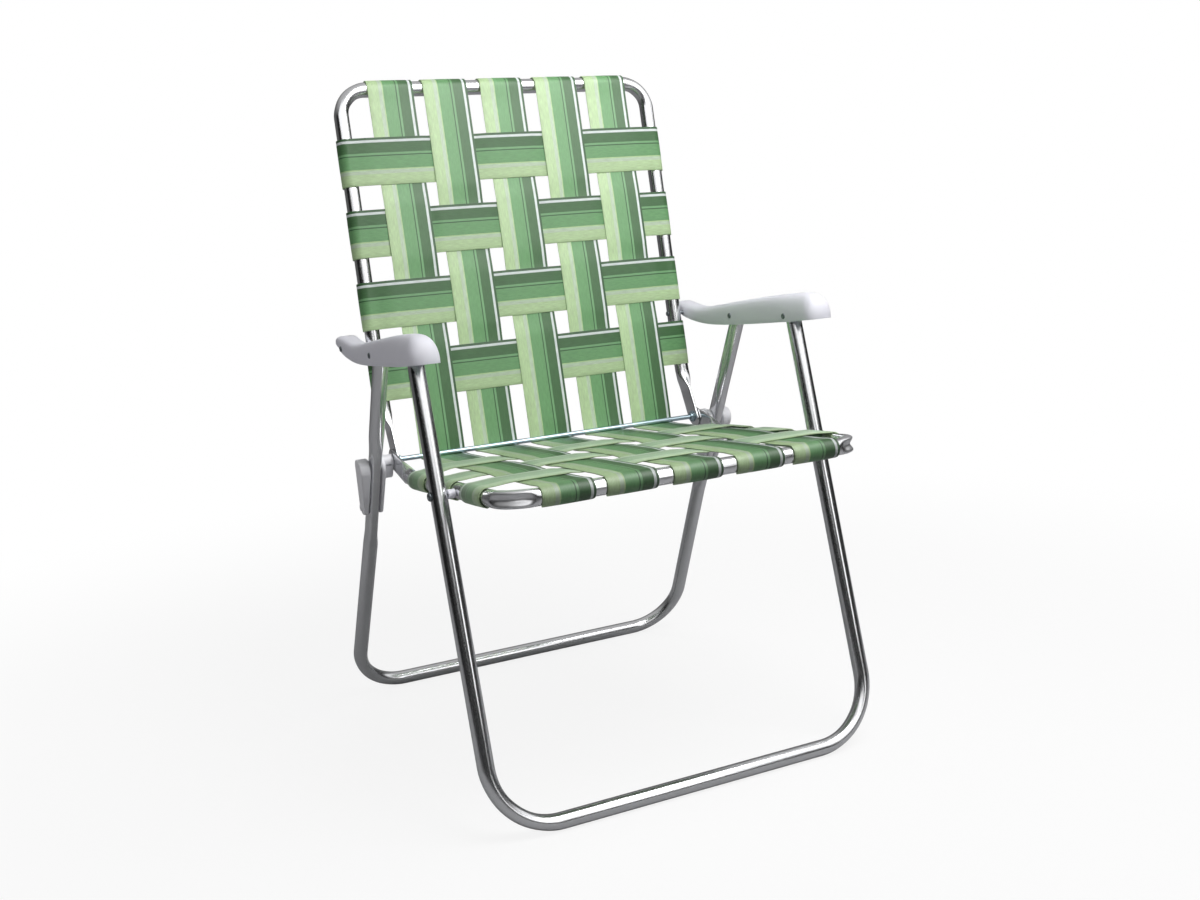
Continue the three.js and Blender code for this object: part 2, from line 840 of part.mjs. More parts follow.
// One seat row lies ahead of the front leg pivot, and two between it and the straps
const firstSeatRowShare = 0.3493;
const lastSeatRow = seatPivotReach + (seatNose - railBend + spacerRadius) / 2 - seatRowNudge;
const middleSeatRow = seatPivotReach - seatRowBehindPivot;
const seatRows = [mix(strapRoundFrom, middleSeatRow, firstSeatRowShare), middleSeatRow, lastSeatRow];
const backRows = [0, 1, 2, 3].map((row) => backLength - backRowStart - row * backRowPitch);

// The rear and front seat rows and the odd back rows start over the outer webs
function rowsOver(rows, column) {
  const columnSign = column % 2 ? -1 : 1;
  return rows
    .map((centre, row) => ({ centre, over: (row % 2 ? -1 : 1) * -columnSign }))
    .sort((first, second) => first.centre - second.centre);
}

// Materials and assembly
const aluminium = new THREE.MeshStandardMaterial({ color: 0xc9cbce, roughness: 0.25, metalness: 1 });
const zinc = new THREE.MeshStandardMaterial({ color: 0xaab4bd, roughness: 0.35, metalness: 1 });
const plastic = new THREE.MeshStandardMaterial({ color: 0xe1e2eb, roughness: 0.45, metalness: 0 });
const greyPlastic = new THREE.MeshStandardMaterial({ color: 0xbfc0c6, roughness: 0.5, metalness: 0 });
const webbing = new THREE.MeshStandardMaterial({ color: 0x82ac82, roughness: 0.7, metalness: 0 });

const chair = new THREE.Group();
chair.position.y = baseShift;

function place(name, geometry, material) {
  const mesh = new THREE.Mesh(geometry, material);
  mesh.name = name;
  chair.add(mesh);
}

function placePair(name, geometry, material) {
  place(`${name}_right`, geometry, material);
  place(`${name}_left`, mirrored(geometry), material);
}

place('front_leg_frame', frontLegFrame(), aluminium);
place('rear_leg_frame', rearLegFrame(), aluminium);
place('seat_frame', seatFrame(), aluminium);
place('back_frame', backFrame(), aluminium);
place('cross_rod', crossRod(), zinc);
placePair('rod_collar', rodCollar(), zinc);
placePair('armrest', armrest(), plastic);
placePair('hinge_bracket', hingeBracket(), greyPlastic);
placePair('leg_spacer', legSpacer(), plastic);

const armOuter = legCentre + armHalf + clearance;
const armInner = legCentre - armHalf - clearance;
const railInner = railCentre - tubeReach - clearance;
const legOuter = legCentre + tubeReach + clearance;
placePair('front_arm_rivet', rivet(frontPivot, armInner, armOuter, armHead), zinc);
placePair('rear_arm_rivet', rivet(rearPivot, armInner, armOuter, armHead), zinc);
placePair('back_arm_rivet', rivet(backPivot, railInner, armOuter, armHead), zinc);
placePair('seat_leg_rivet', rivet(seatPivot, railInner, legOuter, legHead), zinc);

const rivetFlare = flareAt(legHead.radius);
const outerCheekFace = legCentre + pressedHalf + cheekGap + outerCheek + rivetFlare + clearance;
const innerCheekFace = legCentre - pressedHalf - cheekGap - innerCheek - clearance;
placePair('bracket_outer_rivet', stub(hingePivot, outerCheekFace, outerCheekFace - outerCheek), zinc);
placePair('bracket_inner_rivet', stub(hingePivot, innerCheekFace, innerCheekFace + innerCheek), zinc);

webCentres.forEach((centreX, column) => {
  const number = column + 1;
  place(`seat_web_${number}`, longWeb(seatPlane, backPlane, centreX, rowsOver(seatRows, column)), webbing);
  place(`back_web_${number}`, longWeb(backPlane, seatPlane, centreX, rowsOver(backRows, column)), webbing);
});
seatRows.forEach((distance, row) => {
  place(`seat_cross_web_${row + 1}`, crossWeb(seatPlane, distance, row % 2 ? -1 : 1), webbing);
});
backRows.forEach((distance, row) => {
  place(`back_cross_web_${row + 1}`, crossWeb(backPlane, distance, row % 2 ? -1 : 1), webbing);
});

export default chair;
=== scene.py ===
import math

import bpy
import numpy as np
from mathutils import Matrix, Vector


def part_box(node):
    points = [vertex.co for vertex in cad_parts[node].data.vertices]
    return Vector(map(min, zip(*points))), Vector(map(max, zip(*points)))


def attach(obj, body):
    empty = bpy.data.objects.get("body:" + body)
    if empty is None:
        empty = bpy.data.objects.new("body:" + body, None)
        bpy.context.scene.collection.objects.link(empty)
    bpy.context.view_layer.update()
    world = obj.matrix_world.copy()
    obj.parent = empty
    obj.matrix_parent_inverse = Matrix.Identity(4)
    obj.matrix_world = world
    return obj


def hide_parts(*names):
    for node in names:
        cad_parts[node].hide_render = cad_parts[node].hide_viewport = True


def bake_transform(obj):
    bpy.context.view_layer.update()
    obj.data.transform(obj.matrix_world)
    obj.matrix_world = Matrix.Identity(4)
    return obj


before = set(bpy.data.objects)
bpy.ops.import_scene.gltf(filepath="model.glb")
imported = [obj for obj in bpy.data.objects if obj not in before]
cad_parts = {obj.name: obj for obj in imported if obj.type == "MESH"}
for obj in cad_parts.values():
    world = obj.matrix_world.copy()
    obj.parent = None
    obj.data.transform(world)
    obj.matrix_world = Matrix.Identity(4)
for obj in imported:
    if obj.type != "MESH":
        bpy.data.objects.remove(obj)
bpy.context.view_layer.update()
print("frame loaded")

acrossX = Vector((1, 0, 0))

# The chair's side view, in metres and degrees, as in the part
layout = {
    "baseShift": 0.1034845, "rodHeight": 0.3405, "railSetback": 0.019,
    "railCentre": 0.2065, "legCentre": 0.2335, "tubeRadius": 0.009,
    "backLean": 10.65, "backLength": 0.4462, "backPivotReach": 0.1394,
    "seatTilt": 6.07, "seatLength": 0.3583, "seatPivotReach": 0.2368,
    "frontLegRake": 16.45, "frontLegAboveSeat": 0.1444, "frontLegBend": 0.072,
    "rearLegRake": 25.98, "rearPivotReach": 0.1199, "rearPivotDrop": 0.002,
    "hingeReach": 0.2147, "rearLegBend": 0.064, "rearLegSplay": 0.005,
    "legTopMargin": 0.006, "railBend": 0.0332,
}


def sideVector(degrees, yFactor, zFactor):
    angle = math.radians(degrees)
    return Vector((0, yFactor(angle), zFactor(angle)))


rod = Vector((0, layout["baseShift"], layout["rodHeight"]))
backUp = sideVector(layout["backLean"], math.sin, math.cos)
backFront = Vector((0, -backUp.z, backUp.y))
seatUp = sideVector(layout["seatTilt"], math.sin, math.cos)
seatForward = Vector((0, -seatUp.z, seatUp.y))
backFoot = rod - backFront * layout["railSetback"]
seatFoot = rod - seatUp * layout["railSetback"]
seatPivot = seatFoot + seatForward * layout["seatPivotReach"]
backPivot = backFoot + backUp * layout["backPivotReach"]
frontLegUp = sideVector(layout["frontLegRake"], math.sin, math.cos)
frontLegRear = Vector((0, frontLegUp.z, -frontLegUp.y))
frontPivot = seatPivot + frontLegUp * layout["frontLegAboveSeat"]
armForward = (frontPivot - backPivot).normalized()
armUp = Vector((0, armForward.z, -armForward.y))
armSpan = (frontPivot - backPivot).length
rearPivot = backPivot + armForward * layout["rearPivotReach"] - armUp * layout["rearPivotDrop"]
rearLegUp = Vector((0, -math.sin(math.radians(layout["rearLegRake"])), math.cos(math.radians(layout["rearLegRake"]))))
rearLegRear = Vector((0, rearLegUp.z, -rearLegUp.y))
hingePivot = rearPivot - rearLegUp * layout["hingeReach"]
frontLegLength = (frontPivot.z - layout["tubeRadius"]) / frontLegUp.z
rearLegLength = (rearPivot.z - layout["tubeRadius"]) / rearLegUp.z


def smooth(share):
    held = np.clip(share, 0, 1)
    return held * held * (3 - 2 * held)


def mix(low, high, share):
    return low + (high - low) * share


def deselectAll():
    if bpy.context.object and bpy.context.object.mode != "OBJECT":
        bpy.ops.object.mode_set(mode="OBJECT")
    bpy.ops.object.select_all(action="DESELECT")


def pick(piece):
    deselectAll()
    piece.select_set(True)
    bpy.context.view_layer.objects.active = piece


def applyModifiers(piece):
    pick(piece)
    for modifier in list(piece.modifiers):
        bpy.ops.object.modifier_apply(modifier=modifier.name)


def readPoints(piece):
    points = np.empty(len(piece.data.vertices) * 3)
    piece.data.vertices.foreach_get("co", points)
    return points.reshape(-1, 3)


def writePoints(piece, points):
    piece.data.vertices.foreach_set("co", points.reshape(-1))
    piece.data.update()


def finishPiece(piece, name, body, material, standsFor=()):
    piece.name = name
    piece.data.name = name
    pick(piece)
    bpy.ops.object.transform_apply(location=True, rotation=True, scale=True)
    piece.data.materials.clear()
    piece.data.materials.append(material)
    if body:
        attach(piece, body)
    if standsFor:
        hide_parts(*standsFor)
    return piece


def newMaterial(name):
    material = bpy.data.materials.new(name)
    material.use_nodes = True
    nodes = material.node_tree.nodes
    return material, nodes, material.node_tree.links, nodes["Principled BSDF"]


def newGroup(name, inputs, outputs):
    group = bpy.data.node_groups.new(name, "ShaderNodeTree")
    for label, kind, value in inputs:
        socket = group.interface.new_socket(label, in_out="INPUT", socket_type=kind)
        if value is not None:
            socket.default_value = value
    for label, kind in outputs:
        group.interface.new_socket(label, in_out="OUTPUT", socket_type=kind)
    return group, group.nodes.new("NodeGroupInput"), group.nodes.new("NodeGroupOutput")


def mathNode(tree, operation, first, second=None, third=None):
    node = tree.nodes.new("ShaderNodeMath")
    node.operation = operation
    for index, value in enumerate((first, second, third)):
        if value is None:
            continue
        if isinstance(value, (int, float)):
            node.inputs[index].default_value = value
        else:
            tree.links.new(value, node.inputs[index])
    return node.outputs[0]


def mixColours(tree, fac, first, second, blend="MIX"):
    node = tree.nodes.new("ShaderNodeMix")
    node.data_type = "RGBA"
    node.blend_type = blend
    for socket, value in ((node.inputs[0], fac), (node.inputs[6], first), (node.inputs[7], second)):
        if isinstance(value, (int, float, tuple)):
            socket.default_value = value
        else:
            tree.links.new(value, socket)
    return node.outputs[2]


def noiseNode(tree, vector, scale, detail=3.0, roughness=0.5):
    node = tree.nodes.new("ShaderNodeTexNoise")
    node.inputs["Scale"].default_value = scale
    node.inputs["Detail"].default_value = detail
    node.inputs["Roughness"].default_value = roughness
    tree.links.new(vector, node.inputs["Vector"])
    return node.outputs["Fac"]


def linearColour(red, green, blue):
    def decode(value):
        share = value / 255
        return share / 12.92 if share <= 0.04045 else ((share + 0.055) / 1.055) ** 2.4
    return (decode(red), decode(green), decode(blue), 1)


# Fine drawn lines and small marks along a surface, from a stretched position
drawnGroup, groupIn, groupOut = newGroup(
    "drawnMarks",
    [("Vector", "NodeSocketVector", None), ("Along", "NodeSocketFloat", 0.04)],
    [("Lines", "NodeSocketFloat"), ("Marks", "NodeSocketFloat")],
)
stretch = drawnGroup.nodes.new("ShaderNodeCombineXYZ")
stretch.inputs[0].default_value = 1
stretch.inputs[1].default_value = 1
drawnGroup.links.new(groupIn.outputs["Along"], stretch.inputs[2])
scaled = drawnGroup.nodes.new("ShaderNodeVectorMath")
scaled.operation = "MULTIPLY"
drawnGroup.links.new(groupIn.outputs["Vector"], scaled.inputs[0])
drawnGroup.links.new(stretch.outputs[0], scaled.inputs[1])
lines = noiseNode(drawnGroup, scaled.outputs[0], 2600, 4)
broad = noiseNode(drawnGroup, scaled.outputs[0], 320, 2)
spots = noiseNode(drawnGroup, groupIn.outputs["Vector"], 140, 5, 0.6)
both = mathNode(drawnGroup, "ADD", mathNode(drawnGroup, "MULTIPLY", lines, 0.6), mathNode(drawnGroup, "MULTIPLY", broad, 0.4))
drawnGroup.links.new(both, groupOut.inputs["Lines"])
drawnGroup.links.new(spots, groupOut.inputs["Marks"])


def metalMaterial(name, recipe):
    material, nodes, links, shader = newMaterial(name)
    tree = material.node_tree
    place = nodes.new("ShaderNodeAttribute")
    place.attribute_name = "alongTube"
    if not recipe["byTube"]:
        place = nodes.new("ShaderNodeTexCoord")
    vector = place.outputs["Vector"] if recipe["byTube"] else place.outputs["Object"]
    marks = nodes.new("ShaderNodeGroup")
    marks.node_tree = drawnGroup
    marks.inputs["Along"].default_value = recipe["along"]
    links.new(vector, marks.inputs["Vector"])
    low, high = recipe["roughness"]
    rough = mathNode(tree, "MULTIPLY_ADD", marks.outputs["Lines"], (high - low) * 1.6, low - (high - low) * 0.3)
    spotted = mathNode(tree, "MULTIPLY_ADD", marks.outputs["Marks"], recipe["spotRoughness"], rough)
    if recipe["byTube"]:
        pressed = nodes.new("ShaderNodeAttribute")
        pressed.attribute_name = "satin"
        spotted = mathNode(tree, "MULTIPLY_ADD", pressed.outputs["Fac"], recipe["satinRoughness"], spotted)
    links.new(spotted, shader.inputs["Roughness"])
    links.new(mixColours(tree, marks.outputs["Marks"], recipe["colour"], recipe["dullColour"]), shader.inputs["Base Color"])
    shader.inputs["Metallic"].default_value = 1
    bump = nodes.new("ShaderNodeBump")
    bump.inputs["Strength"].default_value = recipe["bump"]
    bump.inputs["Distance"].default_value = 0.0002
    links.new(marks.outputs["Lines"], bump.inputs["Height"])
    links.new(bump.outputs["Normal"], shader.inputs["Normal"])
    return material


tubeFinish = {
    "colour": (0.82, 0.825, 0.84, 1), "dullColour": (0.74, 0.745, 0.76, 1), "roughness": (0.15, 0.2),
    "spotRoughness": 0.04, "bump": 0.012, "byTube": True, "along": 0.02, "satinRoughness": 0.2,
}
zincFinish = {
    "colour": (0.50, 0.62, 0.68, 1), "dullColour": (0.36, 0.47, 0.52, 1), "roughness": (0.22, 0.34),
    "spotRoughness": 0.08, "bump": 0.05, "byTube": False, "along": 1.0,
}
darkSteelFinish = {
    "colour": (0.26, 0.29, 0.31, 1), "dullColour": (0.16, 0.18, 0.19, 1), "roughness": (0.3, 0.42),
    "spotRoughness": 0.08, "bump": 0.05, "byTube": False, "along": 1.0,
}
aluminium = metalMaterial("aluminiumTube", tubeFinish)
zinc = metalMaterial("zincSteel", zincFinish)
darkSteel = metalMaterial("darkRivetSteel", darkSteelFinish)


# Moulded plastic: a fine pebbled skin with faint flow marks
mouldedGroup, groupIn, groupOut = newGroup(
    "mouldedSkin",
    [("Colour", "NodeSocketColor", (0.8, 0.8, 0.8, 1)), ("Shade", "NodeSocketColor", (0.7, 0.7, 0.7, 1))],
    [("Colour", "NodeSocketColor"), ("Height", "NodeSocketFloat"), ("Roughness", "NodeSocketFloat")],
)
where = mouldedGroup.nodes.new("ShaderNodeTexCoord")
pebbles = noiseNode(mouldedGroup, where.outputs["Object"], 1900, 2)
flow = noiseNode(mouldedGroup, where.outputs["Object"], 24, 4, 0.6)
mouldedGroup.links.new(
    mixColours(mouldedGroup, mathNode(mouldedGroup, "MULTIPLY", flow, 0.5), groupIn.outputs["Colour"], groupIn.outputs["Shade"]),
    groupOut.inputs["Colour"],
)
mouldedGroup.links.new(pebbles, groupOut.inputs["Height"])
mouldedGroup.links.new(mathNode(mouldedGroup, "MULTIPLY_ADD", flow, 0.16, 0.34), groupOut.inputs["Roughness"])


def plasticMaterial(name, recipe):
    material, nodes, links, shader = newMaterial(name)
    skin = nodes.new("ShaderNodeGroup")
    skin.node_tree = mouldedGroup
    skin.inputs["Colour"].default_value = recipe["colour"]
    skin.inputs["Shade"].default_value = recipe["shade"]
    links.new(skin.outputs["Colour"], shader.inputs["Base Color"])
    links.new(skin.outputs["Roughness"], shader.inputs["Roughness"])
    bump = nodes.new("ShaderNodeBump")
    bump.inputs["Strength"].default_value = recipe["bump"]
    bump.inputs["Distance"].default_value = 0.0002
    links.new(skin.outputs["Height"], bump.inputs["Height"])
    links.new(bump.outputs["Normal"], shader.inputs["Normal"])
    return material


whitePlastic = plasticMaterial(
    "whitePlastic", {"colour": (0.80, 0.80, 0.87, 1), "shade": (0.74, 0.74, 0.80, 1), "bump": 0.12}
)
greyPlastic = plasticMaterial(
    "greyPlastic", {"colour": (0.86, 0.86, 0.89, 1), "shade": (0.78, 0.78, 0.82, 1), "bump": 0.2}
)

# The webbing's stripes across its width, from its dark edge, and its weave
webbingLook = {
    "stripes": [
        (0.0, (46, 84, 47)), (0.052, (214, 221, 220)), (0.105, (61, 102, 59)), (0.325, (112, 163, 112)),
        (0.37, (50, 88, 50)), (0.395, (103, 155, 101)), (0.665, (177, 206, 151)), (0.69, (184, 203, 178)),
        (0.765, (180, 207, 157)),
    ],
    "blur": 0.006, "yarns": 38, "pick": 0.0013, "bump": 0.35,
}


def webbingMaterial(name, recipe):
    material, nodes, links, shader = newMaterial(name)
    tree = material.node_tree
    uv = nodes.new("ShaderNodeUVMap")
    uv.uv_map = "webbingUv"
    split = nodes.new("ShaderNodeSeparateXYZ")
    links.new(uv.outputs["UV"], split.inputs[0])
    ramp = nodes.new("ShaderNodeValToRGB")
    elements = ramp.color_ramp.elements
    shades = [linearColour(*shade) for _, shade in webbingLook["stripes"]]
    elements[0].color = shades[0]
    elements[1].position = 1
    elements[1].color = shades[-1]
    for index, (start, _) in enumerate(webbingLook["stripes"][1:], 1):
        for offset, shade in ((-webbingLook["blur"] / 2, shades[index - 1]), (webbingLook["blur"] / 2, shades[index])):
            element = elements.new(start + offset)
            element.color = shade
    links.new(split.outputs[0], ramp.inputs[0])
    yarn = mathNode(tree, "MULTIPLY", split.outputs[0], webbingLook["yarns"])
    pick_ = mathNode(tree, "MULTIPLY", split.outputs[1], 1 / webbingLook["pick"])
    ridge = mathNode(tree, "ABSOLUTE", mathNode(tree, "SINE", mathNode(tree, "MULTIPLY", yarn, math.pi)))
    shifted = mathNode(tree, "MULTIPLY_ADD", mathNode(tree, "FLOOR", yarn), 0.5, pick_)
    wave = mathNode(tree, "ABSOLUTE", mathNode(tree, "SINE", mathNode(tree, "MULTIPLY", shifted, math.pi)))
    height = mathNode(tree, "MULTIPLY", mathNode(tree, "MULTIPLY_ADD", ridge, 0.7, 0.3), mathNode(tree, "MULTIPLY_ADD", wave, 0.5, 0.5))
    flat = nodes.new("ShaderNodeCombineXYZ")
    links.new(mathNode(tree, "MULTIPLY", split.outputs[0], 0.057), flat.inputs[0])
    links.new(mathNode(tree, "MULTIPLY", split.outputs[1], 0.12), flat.inputs[1])
    streaks = noiseNode(tree, flat.outputs[0], 900, 3)
    patches = noiseNode(tree, uv.outputs["UV"], 6, 3)
    # Painted shade in the weave's hollows: the low parts of the yarns mix towards a near-black green
    paintedGapShade = mathNode(tree, "MULTIPLY_ADD", height, -0.3, 0.24)
    base = mixColours(tree, paintedGapShade, ramp.outputs[0], (0.012, 0.03, 0.012, 1))
    grain = mathNode(tree, "MULTIPLY_ADD", streaks, 0.55, 0.74)
    grain = mathNode(tree, "MULTIPLY", grain, mathNode(tree, "MULTIPLY_ADD", patches, 0.16, 0.92))
    grainedWithPaintedLight = nodes.new("ShaderNodeVectorMath")
    grainedWithPaintedLight.operation = "SCALE"
    links.new(base, grainedWithPaintedLight.inputs[0])
    # The recipe's fade scales the colour along the web: painted light on the back, painted shade on the seat and its
    # front wraps
    for start, end, before, after in recipe["fade"]:
        along = nodes.new("ShaderNodeMapRange")
        along.interpolation_type = "SMOOTHSTEP"
        for socket, value in (("From Min", start), ("From Max", end), ("To Min", before), ("To Max", after)):
            along.inputs[socket].default_value = value
        links.new(split.outputs[1], along.inputs["Value"])
        grain = mathNode(tree, "MULTIPLY", grain, along.outputs["Result"])
    links.new(grain, grainedWithPaintedLight.inputs["Scale"])
    # Painted sheen: the colour mixes towards a pale colour where the web is seen at a grazing angle, on top of an even
    # slight paling
    edge = nodes.new("ShaderNodeLayerWeight")
    grazingSheenMask = mathNode(tree, "POWER", edge.outputs["Facing"], 3)
    bleachAndSheen = mathNode(tree, "MULTIPLY_ADD", grazingSheenMask, recipe["grazingPaintedSheen"], recipe["bleachAndSheen"])
    bleachedWithPaintedLight = mixColours(tree, bleachAndSheen, grainedWithPaintedLight.outputs[0], recipe["bleachAndSheenColour"])
    links.new(bleachedWithPaintedLight, shader.inputs["Base Color"])
    low, high = recipe["roughness"]
    links.new(mathNode(tree, "MULTIPLY_ADD", height, low - high, high), shader.inputs["Roughness"])
    shader.inputs["Specular IOR Level"].default_value = recipe["shine"]
    shader.inputs["Anisotropic"].default_value = recipe["stretch"]
    shader.inputs["Sheen Weight"].default_value = recipe["sheen"]
    shader.inputs["Sheen Roughness"].default_value = 0.35
    shader.inputs["Sheen Tint"].default_value = (0.86, 1.0, 0.82, 1)
    tangent = nodes.new("ShaderNodeTangent")
    tangent.direction_type = "UV_MAP"
    tangent.uv_map = "webbingUv"
    links.new(tangent.outputs[0], shader.inputs["Tangent"])
    bump = nodes.new("ShaderNodeBump")
    bump.inputs["Strength"].default_value = webbingLook["bump"]
    bump.inputs["Distance"].default_value = 0.0004
    links.new(height, bump.inputs["Height"])
    links.new(bump.outputs["Normal"], shader.inputs["Normal"])
    return material


# fade: painted light and shade along the web: from, to along the web in metres, and the share of the colour before and
# after; above 1 is painted light on the back, below 1 painted shade on the seat and the front wraps
longWebbing = webbingMaterial("webbingLong", {
    "bleachAndSheen": 0.012, "bleachAndSheenColour": (0.80, 0.90, 0.72, 1), "shine": 0.62, "roughness": (0.42, 0.5), "stretch": 0.5, "sheen": 0.0,
    "grazingPaintedSheen": 0.0, "fade": [(0.49, 0.52, 1.14, 0.76), (0.85, 0.872, 1, 0.94)],
})
backWebbing = webbingMaterial("webbingBack", {
    "bleachAndSheen": 0.006, "bleachAndSheenColour": (0.60, 0.76, 0.56, 1), "shine": 0.45, "roughness": (0.44, 0.52), "stretch": 0.4, "sheen": 0.05,
    "grazingPaintedSheen": 0.0, "fade": [],
})
# The seat's cross webs: the same webbing, with painted shade (colour × 0.76 all along) and a painted sheen at grazing
# angles
seatWebbing = webbingMaterial("webbingSeat", {
    "bleachAndSheen": 0.006, "bleachAndSheenColour": (0.60, 0.76, 0.56, 1), "shine": 0.45, "roughness": (0.44, 0.52), "stretch": 0.4, "sheen": 0.15,
    "grazingPaintedSheen": 0.7, "fade": [(0.0, 0.001, 0.76, 0.76)],
})
print("materials made")

view = {"lens": 39.816, "sensor": 36, "yaw": -25.38, "pitch": -11.65, "roll": -3.26, "place": (-0.65041, -1.40494, 0.65848)}
yaw, pitch, roll = (math.radians(view[key]) for key in ("yaw", "pitch", "roll"))
forward = Vector((-math.sin(yaw) * math.cos(pitch), math.cos(yaw) * math.cos(pitch), math.sin(pitch)))
level = forward.cross(Vector((0, 0, 1))).normalized()
upright = level.cross(forward)
sideways = level * math.cos(roll) + upright * math.sin(roll)
skyward = upright * math.cos(roll) - level * math.sin(roll)
turn = Matrix((sideways, skyward, -forward)).transposed()
bpy.ops.object.camera_add(location=view["place"], rotation=turn.to_euler())
camera = bpy.context.object
camera.data.lens = view["lens"]
camera.data.sensor_width = view["sensor"]
camera.data.clip_start = 0.05
camera.data.clip_end = 60
bpy.context.scene.camera = camera
bpy.context.scene.view_settings.view_transform = "Standard"

studio = {
    "floorSize": 30, "floorColour": (0.88, 0.88, 0.885, 1), "floorGlow": 0.86, "floorInReflections": (0.4, 0.4, 0.41, 1),
    "fadeFrom": 0.45, "fadeTo": 1.5,
    "skyLight": 0.5, "sideLight": 0.12, "frontLight": 0.015, "fillLow": 0.09, "fillHigh": 0.24,
    # softboxes round the chair: azimuth from the front, distance, width, height, middle, level
    "panels": [
        ("frontStrip", 21, 1.8, 0.4, 1.1, 0.91, 2.0),
        ("smallStrip", -16, 2.08, 0.15, 0.5, 0.98, 1.1),
        ("leftTopSoftbox", -46, 2.6, 1.7, 2.2, 2.52, 1.3),
        ("frontTopSoftbox", 8, 2.6, 3.85, 2.4, 2.42, 1.3),
        ("rightTopSoftbox", 75, 2.6, 3.0, 2.4, 2.42, 1.1),
        ("rightFlag", 100, 2.4, 2.2, 1.2, 0.6, 0.02),
        ("leftFlag", -80, 2.2, 1.6, 1.5, 0.75, 0.0),
    ],
    # lamps: place, size, watts
    "lamps": [
        ("frontLamp", (0.3, -0.55, 1.3), 0.8, 12.2),
        ("topLamp", (0.1, -0.3, 2.4), 1.2, 0.5),
        ("leftLamp", (-1.9, 0.1, 1.0), 1.4, 6),
        ("rightLamp", (1.9, 0.1, 1.0), 1.4, 4),
        ("rearLamp", (0.0, 2.1, 1.2), 1.4, 9),
    ],
}

deselectAll()
bpy.ops.mesh.primitive_plane_add(size=studio["floorSize"], location=(0, 0, -0.0004))
floor = bpy.context.object
floor.name = "studioFloor"
floorPaint, nodes, links, shader = newMaterial("floorPaint")
shader.inputs["Roughness"].default_value = 0.9
shader.inputs["Specular IOR Level"].default_value = 0.1
floorTree = floorPaint.node_tree
floorPlace = nodes.new("ShaderNodeTexCoord")
grain = noiseNode(floorTree, floorPlace.outputs["Object"], 1.2, 2)
paintShade = mixColours(floorTree, mathNode(floorTree, "MULTIPLY", grain, 0.1), studio["floorColour"], (0.84, 0.84, 0.85, 1))
rays = nodes.new("ShaderNodeLightPath")
links.new(
    mixColours(floorTree, rays.outputs["Is Camera Ray"], studio["floorInReflections"], paintShade),
    shader.inputs["Base Color"],
)
distance = nodes.new("ShaderNodeVectorMath")
distance.operation = "LENGTH"
links.new(floorPlace.outputs["Object"], distance.inputs[0])
fade = nodes.new("ShaderNodeMapRange")
fade.interpolation_type = "SMOOTHSTEP"
fade.inputs["From Min"].default_value = studio["fadeFrom"]
fade.inputs["From Max"].default_value = studio["fadeTo"]
fade.inputs["To Min"].default_value = studio["floorGlow"]
fade.inputs["To Max"].default_value = 1
links.new(distance.outputs["Value"], fade.inputs["Value"])
glow = nodes.new("ShaderNodeEmission")
glow.inputs["Strength"].default_value = 1
blend = nodes.new("ShaderNodeMixShader")
links.new(mathNode(floorTree, "MULTIPLY", rays.outputs["Is Camera Ray"], fade.outputs["Result"]), blend.inputs[0])
links.new(shader.outputs[0], blend.inputs[1])
links.new(glow.outputs[0], blend.inputs[2])
links.new(blend.outputs[0], nodes["Material Output"].inputs["Surface"])
floor.data.materials.append(floorPaint)

for panelName, azimuth, distance, width, height, middle, level_ in studio["panels"]:
    angle = math.radians(azimuth)
    deselectAll()
    bpy.ops.mesh.primitive_plane_add(
        size=1, location=(distance * math.sin(angle), -distance * math.cos(angle), middle), rotation=(math.pi / 2, 0, angle)
    )
    panel = bpy.context.object
    panel.name = panelName
    panel.scale = (width, height, 1)
    panelPaint, nodes, links, shader = newMaterial(panelName + "Paint")
    shader.inputs["Base Color"].default_value = (0.01, 0.01, 0.01, 1)
    shader.inputs["Roughness"].default_value = 1
    shader.inputs["Specular IOR Level"].default_value = 0
    shader.inputs["Emission Color"].default_value = (1, 1, 1, 1)
    shader.inputs["Emission Strength"].default_value = level_
    panel.data.materials.append(panelPaint)
    panel.visible_camera = False
    panel.visible_shadow = False
    panel.visible_diffuse = False

for lampName, place, size, watts in studio["lamps"]:
    aim = (Vector((0, 0, 0.4)) - Vector(place)).to_track_quat("-Z", "Y").to_euler()
    bpy.ops.object.light_add(type="AREA", location=place, rotation=aim)
    lamp = bpy.context.object
    lamp.name = lampName
    lamp.data.shape = "SQUARE"
    lamp.data.size = size
    lamp.data.energy = watts
    lamp.visible_glossy = math.hypot(place[0], place[1]) < 1

world = bpy.data.worlds.new("studioWorld")
bpy.context.scene.world = world
world.use_nodes = True
nodes, links = world.node_tree.nodes, world.node_tree.links
worldTree = world.node_tree
backdrop = nodes["Background"]
rays = nodes.new("ShaderNodeLightPath")
seen = mathNode(worldTree, "MAXIMUM", rays.outputs["Is Camera Ray"], rays.outputs["Is Transmission Ray"])
skyPlace = nodes.new("ShaderNodeTexCoord")
skyParts = nodes.new("ShaderNodeSeparateXYZ")
links.new(skyPlace.outputs["Generated"], skyParts.inputs[0])
rise = nodes.new("ShaderNodeMapRange")
rise.interpolation_type = "SMOOTHSTEP"
rise.inputs["From Min"].default_value = 0.3
rise.inputs["From Max"].default_value = 0.85
depth = nodes.new("ShaderNodeMapRange")
depth.inputs["From Min"].default_value = -0.2
depth.inputs["From Max"].default_value = 0.6
depth.inputs["To Min"].default_value = studio["frontLight"]
depth.inputs["To Max"].default_value = studio["sideLight"]
links.new(skyParts.outputs[1], depth.inputs["Value"])
links.new(depth.outputs["Result"], rise.inputs["To Min"])
rise.inputs["To Max"].default_value = studio["skyLight"]
links.new(skyParts.outputs[2], rise.inputs["Value"])
fill = nodes.new("ShaderNodeMapRange")
fill.interpolation_type = "SMOOTHSTEP"
fill.inputs["From Min"].default_value = 0.1
